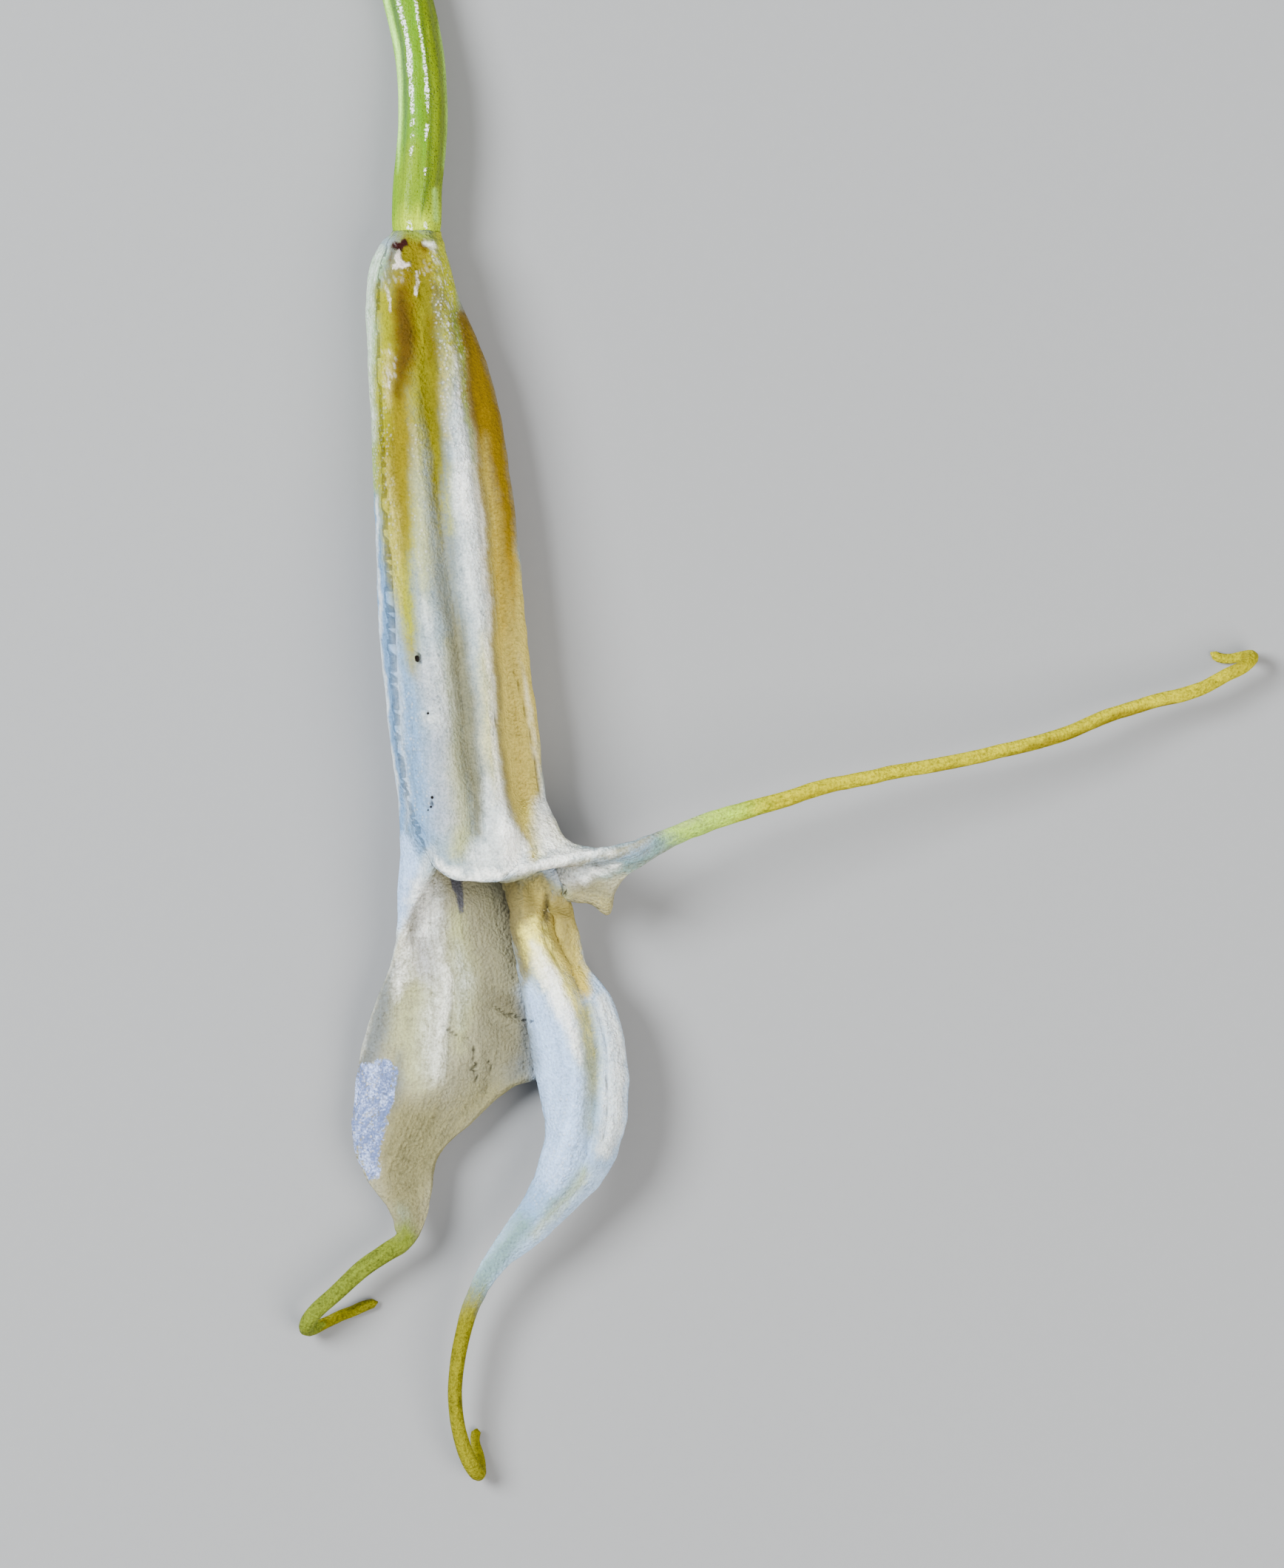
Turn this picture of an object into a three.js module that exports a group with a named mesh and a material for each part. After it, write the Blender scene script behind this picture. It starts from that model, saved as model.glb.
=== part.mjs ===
// A masdevallia flower on its cut stem, lying on its back. X runs across the flower, Y along its tube
// towards the stem and Z up, in millimetres. The shapes are laid out from the joint between the ovary
// and the tube, and the whole is moved at the end so that the middle of its underside is the origin.
import * as THREE from "three";

const wall = 0.66;               // thickness of a sepal
const seatGap = 0.3;             // between the ovary and the tube
const tubeTop = 0.45;            // Y of the tube's closed end
const baseRows = 3;              // fine rows of solid tissue above the hollow of the tube
const steps = 2;                 // facets between two control points of a sepal
const bladeEdge = { power: 6, fall: 0.6 };   // how a blade thins towards its margin
const tailEdge = { power: 2, fall: 0.94 };   // how a tail rounds towards its sides
const tailFullness = 0.96;       // a tail's thickness as a share of its width, up to the wall's
const stemRadius = 1.21;
const stemRibs = 6;
const ribHeight = 0.07;          // of the stem's radius
const stemSides = 36;
const organSides = 14;

const colours = {
  stem: 0x8fb43a,
  sepal: 0xd6d6de,
  column: 0xd9c27a,
  anther: 0xf2ead0,
  pollinia: 0xe8c24a,
  lip: 0xa8562a,
  petal: 0xd8c79a,
};

// Stations along the tube: y, left side, left seam, left ridge, groove, right ridge, right side,
// height of the ridges, depth of the groove, height of the floor, height of the right valley
const stations = [
  [tubeTop, -1.0, -0.88, -0.5, -0.1, 0.35, 0.85, 3.3, 0.03, 1.35, 0.8],
  [-0.1, -1.47, -1.2, -0.65, -0.05, 0.45, 0.95, 3.55, 0.05, 1.15, 0.8],
  [-1.2, -2.03, -1.55, -0.8, 0, 0.7, 1.2, 3.85, 0.08, 0.8, 0.8],
  [-3.2, -2.27, -1.75, -0.75, 0.15, 1.0, 1.8, 4.15, 0.12, 0.45, 0.8],
  [-6.2, -2.12, -1.7, -0.6, 0.4, 1.5, 3.05, 4.5, 0.2, 0.34, 0.76],
  [-9.8, -1.97, -1.55, -0.2, 0.75, 1.95, 3.85, 4.8, 0.35, 0.33, 0.7],
  [-14, -1.77, -1.4, 0.2, 1.2, 2.45, 4.4, 5.1, 0.5, 0.33, 0.66],
  [-19, -1.57, -1.2, 0.7, 1.9, 3.0, 4.88, 5.45, 0.65, 0.33, 0.64],
  [-23.9, -1.08, -0.85, 1.0, 2.4, 3.4, 5.48, 5.8, 0.7, 0.33, 0.62],
  [-27, -0.68, -0.3, 1.35, 2.85, 3.75, 5.83, 6.05, 0.6, 0.33, 0.62],
];

// The ring of the tube between those points: shares of its width, measured in from a side, and of its
// height above the floor
const ringShape = {
  leftSeam: { up: 0.76 },
  leftSide: { up: 0.42 },
  leftTurn: { inset: 0.1, up: 0.13 },
  leftFloor: { inset: 0.3 },
  backSeam: { inset: 0.5 },
  rightFloor: [{ inset: 0.39 }, { inset: 0.28 }, { inset: 0.18, up: 0.01 }],
  rightSeam: { inset: 0.1, up: 0.09 },
  rightTurn: { inset: 0.02, up: 0.26 },
  rightSide: { up: 0.48 },
  valley: { inset: 0.55 },       // share of the way from the right side to the right ridge
};

// The free blades past the tube, as rows of points across each sepal. Each side keeps sharing its end
// points with the neighbouring sepal down to the notch between the two blades.
const dorsalHood = [
  [[0.25, -28.6, 5.2], [1.5, -28.7, 6.15], [2.9, -28.7, 5.65], [4.25, -28.4, 6.15],
    [5.1, -28.25, 4.7], [6.3, -28.1, 3.6], [6.45, -28.6, 2.7], [6.2, -29.2, 2.0]],
  [[0.9, -30.0, 5.0], [1.9, -30.72, 5.95], [2.9, -30.93, 6.3], [3.9, -30.85, 6.2],
    [5.35, -29.4, 5.3], [6.6, -28.72, 4.0], [6.95, -29.7, 3.85], [6.9, -30.6, 3.75]],
];
const dorsalBlade = [
  [[5.5, -30.4, 6.0], [6.15, -29.7, 5.3], [7.03, -29.2, 4.4], [7.45, -30.5, 4.05], [7.35, -31.85, 3.4]],
  [[6.9, -30.02, 5.75], [7.3, -29.75, 5.1], [7.6, -29.5, 4.4], [8.1, -30.6, 4.1], [8.3, -32.0, 3.4]],
  [[8.0, -29.8, 5.65], [8.2, -29.73, 5.15], [8.4, -29.7, 4.6], [8.8, -30.7, 4.2], [9.2, -32.5, 3.4]],
  [[9.0, -29.55, 5.6], [9.15, -29.7, 5.2], [9.3, -29.9, 4.8], [9.45, -30.5, 4.4], [9.55, -31.4, 3.9]],
  [[10.3, -29.1, 5.5], [10.35, -29.4, 5.3], [10.4, -29.7, 5.05], [10.5, -29.95, 4.8], [10.55, -30.2, 4.6]],
];
const rightBlade = [
  [[6.2, -29.2, 2.0], [5.6, -29.1, 1.9], [5.0, -29.0, 1.75], [4.4, -28.8, 1.3], [3.8, -28.6, 0.55]],
  [[6.9, -30.6, 3.75], [6.4, -30.75, 3.8], [5.7, -30.45, 3.9], [4.95, -30.2, 3.8], [4.15, -30.1, 2.9]],
  [[7.35, -31.85, 3.4], [6.8, -31.95, 3.35], [6.15, -31.55, 3.65], [5.3, -31.25, 3.7], [4.25, -31.3, 3.1]],
  [[7.5, -32.5, 2.7], [6.95, -32.5, 2.6], [6.2, -32.35, 2.45], [5.45, -32.25, 2.9], [4.42, -32.4, 2.8]],
  [[7.65, -33.3, 2.4], [7.05, -33.3, 2.6], [6.25, -33.3, 2.4], [5.5, -33.3, 3.3], [4.55, -33.4, 2.6]],
  [[8.05, -34.9, 2.3], [7.55, -35.0, 2.8], [6.95, -35.1, 3.0], [6.2, -35.1, 3.9], [4.9, -35.3, 2.7]],
  [[9.35, -36.8, 2.7], [8.7, -37.1, 3.2], [8.0, -37.2, 3.4], [7.0, -37.2, 4.3], [5.35, -37.5, 2.7]],
  [[10.0, -39.8, 2.8], [9.25, -40.0, 3.5], [8.5, -40.0, 3.4], [7.5, -40.0, 4.1], [5.8, -40.2, 2.6]],
  [[9.8, -43.0, 2.8], [9.15, -43.1, 3.5], [8.35, -43.2, 3.4], [7.4, -43.2, 3.8], [6.2, -43.1, 2.6]],
  [[8.7, -45.4, 2.6], [8.1, -45.5, 3.2], [7.4, -45.6, 3.3], [6.6, -45.6, 3.4], [5.6, -45.4, 2.6]],
  [[6.15, -47.85, 2.4], [5.75, -47.85, 2.8], [5.2, -47.85, 2.9], [4.65, -47.8, 2.8], [4.1, -47.7, 2.5]],
  [[4.0, -49.75, 2.3], [3.8, -49.7, 2.4], [3.5, -49.65, 2.45], [3.3, -49.6, 2.4], [3.0, -49.5, 2.3]],
];
const leftBlade = [
  [[3.8, -28.6, 0.55], [2.0, -28.7, 0.5], [0.35, -28.7, 1.2], [-0.55, -28.6, 3.0], [0.25, -28.6, 5.2]],
  [[3.95, -30.2, 0.5], [2.1, -30.3, 1.1], [0.45, -30.2, 2.4], [-0.6, -30.1, 3.2], [0.9, -30.0, 5.0]],
  [[4.8, -31.8, 0.7], [2.5, -31.8, 1.7], [0.65, -31.7, 2.75], [-0.65, -31.6, 3.15], [0.2, -31.3, 4.2]],
  [[5.2, -33.5, 0.9], [2.8, -33.5, 1.7], [0.7, -33.4, 2.4], [-0.55, -33.4, 2.85], [-0.8, -33.4, 3.35]],
  [[5.6, -35.3, 1.1], [3.3, -35.3, 1.6], [1.2, -35.3, 2.1], [-0.3, -35.2, 2.2], [-1.4, -35.2, 2.35]],
  [[6.1, -37.4, 1.2], [3.6, -37.4, 1.4], [1.3, -37.4, 2.2], [-0.6, -37.3, 1.9], [-2.25, -37.3, 1.9]],
  [[6.5, -40.1, 1.3], [3.9, -39.7, 1.3], [1.2, -39.6, 2.2], [-1.0, -39.6, 2.0], [-2.85, -39.6, 1.5]],
  [[4.5, -40.95, 1.3], [3.1, -41.2, 1.3], [0.9, -41.4, 2.0], [-1.2, -41.5, 2.1], [-3.08, -41.5, 1.4]],
  [[2.75, -42.45, 1.4], [1.6, -42.9, 1.5], [0.0, -43.2, 1.8], [-1.6, -43.4, 2.1], [-3.15, -43.4, 1.5]],
  [[0.95, -44.3, 1.5], [0.2, -44.8, 1.5], [-0.7, -45.1, 1.7], [-1.6, -45.2, 1.9], [-2.5, -45.2, 1.6]],
  [[0.52, -46.4, 1.5], [0.15, -46.5, 1.6], [-0.35, -46.6, 1.7], [-0.9, -46.7, 1.7], [-1.4, -46.75, 1.6]],
  [[0.15, -47.7, 1.55], [-0.1, -47.7, 1.6], [-0.4, -47.75, 1.65], [-0.75, -47.8, 1.65], [-1.1, -47.75, 1.6]],
];

// The tails: x, y, z and half of the width along each, down to the tip of its hook
const dorsalTail = [
  [12.0, -28.9, 5.0, 0.5], [13.6, -28.25, 4.85, 0.47], [15.3, -27.7, 4.7, 0.45], [17.25, -27.1, 4.5, 0.4],
  [19.1, -26.5, 4.3, 0.36], [21.1, -26.1, 4.05, 0.34], [23.6, -25.6, 3.7, 0.33], [26.2, -25.1, 3.35, 0.33],
  [28.9, -24.5, 2.95, 0.33], [30.9, -23.9, 2.65, 0.33], [32.9, -23.1, 2.4, 0.33], [35.6, -22.3, 2.1, 0.33],
  [37.6, -21.75, 1.9, 0.33], [39.1, -21.0, 1.75, 0.32], [39.95, -20.55, 1.65, 0.31],
  [40.35, -20.2, 1.3, 0.3], [40.3, -20.05, 0.8, 0.28], [39.85, -20.1, 0.42, 0.25],
  [39.3, -20.2, 0.27, 0.24], [38.75, -20.15, 0.25, 0.23], [38.35, -19.9, 0.25, 0.18],
];
const rightTail = [
  [2.62, -51.3, 2.2, 0.42], [2.2, -52.6, 2.1, 0.38], [1.88, -54.2, 1.98, 0.36], [1.75, -55.8, 1.85, 0.34],
  [1.9, -57.3, 1.75, 0.34], [2.25, -58.6, 1.6, 0.37], [2.62, -59.35, 1.35, 0.38], [2.85, -59.64, 0.9, 0.35],
  [2.88, -59.35, 0.48, 0.3], [2.8, -58.7, 0.28, 0.25], [2.68, -58.05, 0.25, 0.22], [2.8, -57.5, 0.27, 0.25],
];
const leftTail = [
  [-0.8, -48.4, 1.65, 0.48], [-1.55, -48.9, 1.7, 0.45], [-2.7, -49.68, 1.72, 0.43], [-4.0, -50.88, 1.75, 0.4],
  [-4.9, -51.7, 1.7, 0.38], [-5.27, -52.15, 1.5, 0.37], [-5.38, -52.55, 1.05, 0.35],
  [-5.1, -52.58, 0.6, 0.32], [-4.5, -52.3, 0.33, 0.28], [-3.6, -51.92, 0.27, 0.25],
  [-2.7, -51.6, 0.26, 0.25], [-2.0, -51.36, 0.25, 0.2],
];

// The stem with its ovary: x, y, z of its middle line, from the flower to the cut
const stemLine = [
  [-0.1, tubeTop + seatGap, 2.35], [-0.06, 2.4, 2.3], [0.08, 4.0, 2.22], [0.2, 5.6, 2.1], [0.2, 7.2, 1.95],
  [0.04, 9.0, 1.75], [-0.3, 10.8, 1.55], [-0.78, 12.6, 1.4], [-1.35, 14.6, 1.27], [-1.95, 16.6, 1.2],
];

// The organs in the tube: x, y, z, half width and half height of each ring along them
const columnRings = [
  [-0.35, -0.85, 2.55, 0.4, 0.5], [-0.4, -1.6, 2.75, 0.45, 0.5], [-0.45, -2.6, 2.95, 0.5, 0.38],
  [-0.55, -4.0, 3.12, 0.55, 0.36], [-0.6, -5.4, 3.2, 0.6, 0.36], [-0.6, -6.6, 3.25, 0.45, 0.34],
];
const petalRightRings = [
  [0.45, -1.0, 2.4, 0.26, 0.26], [0.72, -2.6, 2.65, 0.32, 0.5], [0.9, -4.4, 2.85, 0.34, 0.62],
  [1.0, -6.0, 2.95, 0.32, 0.55], [1.0, -6.9, 2.95, 0.24, 0.25],
];
const petalLeftRings = [
  [-1.18, -1.0, 2.15, 0.24, 0.24], [-1.45, -2.6, 2.2, 0.3, 0.5], [-1.48, -4.4, 2.3, 0.31, 0.62],
  [-1.4, -6.0, 2.35, 0.31, 0.55], [-1.35, -6.9, 2.35, 0.24, 0.25],
];
const lipRings = [
  [-0.15, -1.15, 1.65, 0.3, 0.24], [-0.05, -2.4, 1.5, 0.55, 0.3], [0.1, -4.0, 1.4, 0.8, 0.32],
  [0.2, -5.4, 1.45, 0.85, 0.32], [0.25, -6.6, 1.55, 0.5, 0.28],
];
const antherSeat = [-0.6, -6.95, 3.25];      // middle of the cap's open end
const antherProfile = [
  [0, -1.15], [0.36, -1.05], [0.58, -0.7], [0.62, -0.3], [0.6, 0], [0.46, 0], [0.45, -0.4],
  [0.3, -0.78], [0, -0.85],
];
const polliniaAt = [-0.6, -7.25, 3.25];
const polliniaProfile = [
  [0, -0.34], [0.13, -0.3], [0.2, -0.17], [0.1, 0], [0.2, 0.17], [0.13, 0.3], [0, 0.34],
];

const vector = (p) => new THREE.Vector3(p[0], p[1], p[2]);

function curveThrough(points) {
  return new THREE.CatmullRomCurve3(points, false, "centripetal");
}

// One station's ring, from the left seam over the front, down the right side and back along the floor
function stationRow([y, left, seam, ridgeLeft, groove, ridgeRight, right, top, dip, floor, valley]) {
  const height = top - floor;
  const width = right - left;
  const at = (x, share) => new THREE.Vector3(x, y, floor + share * height);
  const fromLeft = ({ inset = 0, up = 0 }) => at(left + inset * width, up);
  const fromRight = ({ inset = 0, up = 0 }) => at(right - inset * width, up);
  const leftSeam = at(seam, ringShape.leftSeam.up);
  const rightSeam = fromRight(ringShape.rightSeam);
  const backSeam = fromRight(ringShape.backSeam);
  const valleyX = right - ringShape.valley.inset * (right - ridgeRight);
  return {
    dorsal: [
      leftSeam, at(ridgeLeft, 1), at(groove, 1 - dip / height), at(ridgeRight, 1), at(valleyX, valley),
      fromRight(ringShape.rightSide), fromRight(ringShape.rightTurn), rightSeam,
    ],
    right: [rightSeam, ...ringShape.rightFloor.map(fromRight).reverse(), backSeam],
    left: [
      backSeam, fromLeft(ringShape.leftFloor), fromLeft(ringShape.leftTurn), fromLeft(ringShape.leftSide),
      leftSeam,
    ],
  };
}

// Rows across a tail: its width stays square to its path and turns no more than the path does
function tailRows(tail, columns, startAcross) {
  const centres = tail.map(vector);
  const curve = curveThrough(centres);
  const across = startAcross.clone();
  return tail.map((entry, i) => {
    const along = curve.getTangent(i / (tail.length - 1));
    across.addScaledVector(along, -across.dot(along)).normalize();
    const points = [];
    for (let k = 0; k < columns; k += 1) {
      const u = (2 * k) / (columns - 1) - 1;
      points.push(centres[i].clone().addScaledVector(across, entry[3] * u));
    }
    return { points, half: Math.min(entry[3], wall / 2) * tailFullness, edge: tailEdge };
  });
}

// All control rows of a sepal: its share of the tube, its blade and its tail. Where a blade has fewer
// columns than the tube, the first columns of the tube end at the rim of the mouth.
function sepalRows(name, blade, tail, startAcross) {
  const tube = stations.map((station) => ({ points: stationRow(station)[name], half: wall / 2 }));
  const hood = name === "dorsal" ? dorsalHood : [];
  const rim = hood.map((row) => ({ points: row.map(vector), half: wall / 2 }));
  const limb = blade.map((row) => ({ points: row.map(vector), half: wall / 2, edge: bladeEdge }));
  const rows = [...tube, ...rim, ...limb];
  const tailStart = rows.length;
  rows.push(...tailRows(tail, blade[0].length, startAcross));
  rows.forEach((row) => {
    row.points = [...Array(rows[0].points.length - row.points.length).fill(null), ...row.points];
  });
  return { rows, tailStart };
}

// A finer net of points through a sepal's control rows, with half the thickness at each point
function fineNet({ rows, tailStart }) {
  const lines = rows[0].points.map((start, c) => {
    const points = rows.map((row) => row.points[c]).filter((point) => point);
    return { curve: curveThrough(points), last: points.length - 1 };
  });
  const net = [];
  rows.forEach((row, r) => {
    const next = rows[Math.min(r + 1, rows.length - 1)];
    const parts = r === rows.length - 1 || r >= tailStart ? 1 : steps;
    for (let s = 0; s < parts; s += 1) {
      const share = s / parts;
      const kept = lines.filter((line) => r + share <= line.last);
      const across = curveThrough(kept.map((line) => line.curve.getPoint((r + share) / line.last)));
      const half = row.half * (1 - share) + next.half * share;
      const count = (kept.length - 1) * steps;
      const points = Array((lines.length - kept.length) * steps).fill(null);
      const halves = [...points];
      for (let c = 0; c <= count; c += 1) {
        const point = across.getPoint(c / count);
        if (r < tailStart) {
          point.z = Math.max(point.z, half);
        }
        points.push(point);
        halves.push(half * edgeShare(row.edge, (2 * c) / count - 1));
      }
      net.push({ points, halves });
    }
  });
  return net;
}

function edgeShare(edge, u) {
  return edge ? Math.sqrt(1 - edge.fall * Math.abs(u) ** edge.power) : 1;
}

// Numbers the points of the nets, giving neighbours one point each down to their notch
function numberNets(nets, notches) {
  const middles = [];
  const halves = [];
  const counts = [];
  const ids = nets.map((net) => net.map((row) => row.points.map(() => null)));
  nets.forEach((net, n) => {
    net.forEach((row, r) => {
      const last = row.points.length - 1;
      row.points.forEach((point, c) => {
        if (!point) {
          return;
        }
        let id = middles.length;
        if (c === 0 && n > 0 && r <= notches[n - 1]) {
          id = ids[n - 1][r].at(-1);
        } else if (c === last && n === nets.length - 1 && r <= notches[n]) {
          id = ids[0][r][0];
        }
        if (id === middles.length) {
          middles.push(new THREE.Vector3());
          halves.push(row.halves[c]);
          counts.push(0);
        } else {
          halves[id] = wall / 2;
        }
        middles[id].add(point);
        counts[id] += 1;
        ids[n][r][c] = id;
      });
    });
  });
  middles.forEach((middle, id) => middle.divideScalar(counts[id]));
  return { ids, middles, halves };
}

function middleTriangles(ids) {
  const triangles = [];
  ids.forEach((rows) => {
    for (let r = 0; r + 1 < rows.length; r += 1) {
      for (let c = firstColumn(rows[r + 1]); c + 1 < rows[r].length; c += 1) {
        const corner = rows[r][c];
        const opposite = rows[r + 1][c + 1];
        triangles.push({ r, points: [corner, rows[r + 1][c], opposite] });
        triangles.push({ r, points: [corner, opposite, rows[r][c + 1]] });
      }
    }
  });
  return triangles;
}

function firstColumn(row) {
  return row.findIndex((id) => id !== null);
}

function pointNormals(middles, triangles) {
  const normals = middles.map(() => new THREE.Vector3());
  const first = new THREE.Vector3();
  const second = new THREE.Vector3();
  triangles.forEach(({ points: [a, b, c] }) => {
    first.subVectors(middles[b], middles[a]);
    second.subVectors(middles[c], middles[a]);
    const normal = first.clone().cross(second);
    [a, b, c].forEach((id) => normals[id].add(normal));
  });
  return normals.map((normal) => normal.normalize());
}

function solidFrom(triangles) {
  const geometry = new THREE.BufferGeometry();
  const positions = triangles.flatMap((triangle) => triangle.flatMap((p) => [p.x, p.y, p.z]));
  geometry.setAttribute("position", new THREE.Float32BufferAttribute(positions, 3));
  geometry.computeVertexNormals();
  return geometry;
}

// The sepals as one body: an outer and an inner skin round the middle surface, joined by the free
// margins and the tips, with a closed end above the hollow
function sepalGeometry() {
  const sepals = [
    sepalRows("dorsal", dorsalBlade, dorsalTail, new THREE.Vector3(0.3, -1, -0.5)),
    sepalRows("right", rightBlade, rightTail, new THREE.Vector3(-1, 0, 0)),
    sepalRows("left", leftBlade, leftTail, new THREE.Vector3(-1, 0.1, 0)),
  ];
  const mouth = stations.length;
  const notches = [(mouth + 2) * steps, mouth * steps, (mouth + 1) * steps];
  const { ids, middles, halves } = numberNets(sepals.map(fineNet), notches);
  const middle = middleTriangles(ids);
  const normals = pointNormals(middles, middle);
  const skin = (side) => middles.map((point, id) => {
    const moved = point.clone().addScaledVector(normals[id], side * halves[id]);
    moved.z = Math.max(moved.z, 0);
    return moved;
  });
  const outer = skin(1);
  const inner = skin(-1);
  const triangles = [];
  middle.forEach(({ r, points: [a, b, c] }) => {
    triangles.push([outer[a], outer[b], outer[c]]);
    if (r >= baseRows) {
      triangles.push([inner[a], inner[c], inner[b]]);
    }
  });
  const closeEdge = (a, b) => {
    triangles.push([outer[a], outer[b], inner[b]], [outer[a], inner[b], inner[a]]);
  };
  const closeEnd = (row, from, to) => {
    for (let c = from; c < to; c += 1) {
      closeEdge(row[c + 1], row[c]);
    }
  };
  ids.forEach((rows, n) => {
    const before = notches[(n + notches.length - 1) % notches.length];
    for (let r = 0; r + 1 < rows.length; r += 1) {
      const first = firstColumn(rows[r + 1]);
      closeEnd(rows[r], firstColumn(rows[r]), first);
      if (r >= before) {
        closeEdge(rows[r + 1][first], rows[r][first]);
      }
      if (r >= notches[n]) {
        closeEdge(rows[r].at(-1), rows[r + 1].at(-1));
      }
    }
    const tip = rows.at(-1);
    closeEnd(tip, firstColumn(tip), tip.length - 1);
  });
  const ring = (row) => ids.flatMap((rows) => rows[row].slice(0, -1));
  closeRing(ring(0).map((id) => outer[id]), triangles, false);
  closeRing(ring(baseRows).map((id) => inner[id]), triangles, true);
  return solidFrom(triangles);
}

function closeRing(points, triangles, flip) {
  const centre = points.reduce((sum, p) => sum.add(p), new THREE.Vector3()).divideScalar(points.length);
  points.forEach((point, i) => {
    const next = points[(i + 1) % points.length];
    triangles.push(flip ? [next, point, centre] : [point, next, centre]);
  });
}

// A closed body through rings of points, all with as many points and in the same order
function loft(rings) {
  const triangles = [];
  for (let r = 0; r + 1 < rings.length; r += 1) {
    rings[r].forEach((point, i) => {
      const next = (i + 1) % rings[r].length;
      const opposite = rings[r + 1][next];
      triangles.push([point, rings[r + 1][i], opposite], [point, opposite, rings[r][next]]);
    });
  }
  closeRing(rings[0], triangles, false);
  closeRing(rings[rings.length - 1], triangles, true);
  return solidFrom(triangles);
}

function stemGeometry() {
  const curve = curveThrough(stemLine.map(vector));
  const count = (stemLine.length - 1) * steps;
  const rings = [];
  for (let i = 0; i <= count; i += 1) {
    const centre = curve.getPoint(i / count);
    const along = curve.getTangent(i / count);
    const side = new THREE.Vector3(1, 0, 0).addScaledVector(along, -along.x).normalize();
    const up = side.clone().cross(along);
    const ring = [];
    for (let k = 0; k < stemSides; k += 1) {
      const angle = (2 * Math.PI * k) / stemSides;
      const radius = stemRadius * (1 - ribHeight * (0.5 + 0.5 * Math.cos(stemRibs * angle)));
      const point = centre.clone().addScaledVector(side, radius * Math.cos(angle));
      point.addScaledVector(up, radius * Math.sin(angle));
      point.z = Math.max(point.z, 0);
      ring.push(point);
    }
    rings.push(ring);
  }
  return loft(rings);
}

function organGeometry(rings) {
  return loft(rings.map(([x, y, z, halfWidth, halfHeight]) => {
    const ring = [];
    for (let k = 0; k < organSides; k += 1) {
      const angle = (-2 * Math.PI * k) / organSides;
      ring.push(new THREE.Vector3(x + halfWidth * Math.cos(angle), y, z + halfHeight * Math.sin(angle)));
    }
    return ring;
  }));
}

function turned(profile) {
  return new THREE.LatheGeometry(profile.map(([radius, y]) => new THREE.Vector2(radius, y)), organSides);
}

function piece(name, geometry, color, roughness) {
  const mesh = new THREE.Mesh(geometry, new THREE.MeshStandardMaterial({ color, roughness, metalness: 0 }));
  mesh.name = name;
  return mesh;
}

const flower = new THREE.Group();
flower.add(piece("stem_ovary", stemGeometry(), colours.stem, 0.35));
flower.add(piece("sepal_tube", sepalGeometry(), colours.sepal, 0.55));
flower.add(piece("column", organGeometry(columnRings), colours.column, 0.5));
flower.add(piece("lip", organGeometry(lipRings), colours.lip, 0.5));
flower.add(piece("petal_left", organGeometry(petalLeftRings), colours.petal, 0.5));
flower.add(piece("petal_right", organGeometry(petalRightRings), colours.petal, 0.5));

const antherCap = piece("anther_cap", turned(antherProfile), colours.anther, 0.4);
antherCap.position.set(...antherSeat);
flower.add(antherCap);

const pollinia = piece("pollinia", turned(polliniaProfile), colours.pollinia, 0.4);
pollinia.position.set(...polliniaAt);
pollinia.rotation.z = Math.PI / 2;
flower.add(pollinia);

const box = new THREE.Box3().setFromObject(flower);
flower.position.set(-(box.min.x + box.max.x) / 2, -(box.min.y + box.max.y) / 2, -box.min.z);

export default flower;
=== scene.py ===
import math

import bpy
import numpy as np
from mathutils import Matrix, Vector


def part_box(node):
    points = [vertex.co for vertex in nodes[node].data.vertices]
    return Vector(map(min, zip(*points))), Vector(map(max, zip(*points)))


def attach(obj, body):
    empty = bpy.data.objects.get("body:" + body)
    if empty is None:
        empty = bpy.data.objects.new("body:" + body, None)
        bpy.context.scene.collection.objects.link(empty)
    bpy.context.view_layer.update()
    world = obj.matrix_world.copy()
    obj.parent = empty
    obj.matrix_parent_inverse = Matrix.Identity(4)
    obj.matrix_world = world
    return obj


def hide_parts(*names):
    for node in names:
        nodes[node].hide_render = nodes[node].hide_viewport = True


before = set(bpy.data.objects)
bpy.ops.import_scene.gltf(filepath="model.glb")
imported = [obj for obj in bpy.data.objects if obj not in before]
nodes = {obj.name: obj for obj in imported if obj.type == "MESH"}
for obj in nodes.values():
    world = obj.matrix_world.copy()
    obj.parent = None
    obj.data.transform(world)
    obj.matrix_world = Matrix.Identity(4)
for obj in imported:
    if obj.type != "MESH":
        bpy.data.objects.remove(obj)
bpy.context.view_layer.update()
print("frame loaded:", ", ".join(sorted(nodes)))

# Everything below is laid out in millimetres from the joint of the ovary and the tube. The pollen grains
# lie at a known place there, which gives the way back to the frame.
pollenAt = np.array([-0.6, -7.25, 3.25])
low, high = (np.array(corner) * 1000 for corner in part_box("pollinia"))
toFrame = (low + high) / 2 - pollenAt
mergeDistance = 0.000004
leastLevel = 0.6               # lower faces take no marks and no paint, unless a stroke says so


def metres(points):
    return (np.asarray(points, float) + toFrame) * 0.001


def deselectAll():
    if bpy.context.mode != "OBJECT":
        bpy.ops.object.mode_set(mode="OBJECT")
    bpy.ops.object.select_all(action="DESELECT")


def pick(piece):
    deselectAll()
    piece.select_set(True)
    bpy.context.view_layer.objects.active = piece


def applyModifiers(piece):
    pick(piece)
    for name in [modifier.name for modifier in piece.modifiers]:
        bpy.ops.object.modifier_apply(modifier=name)


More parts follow.
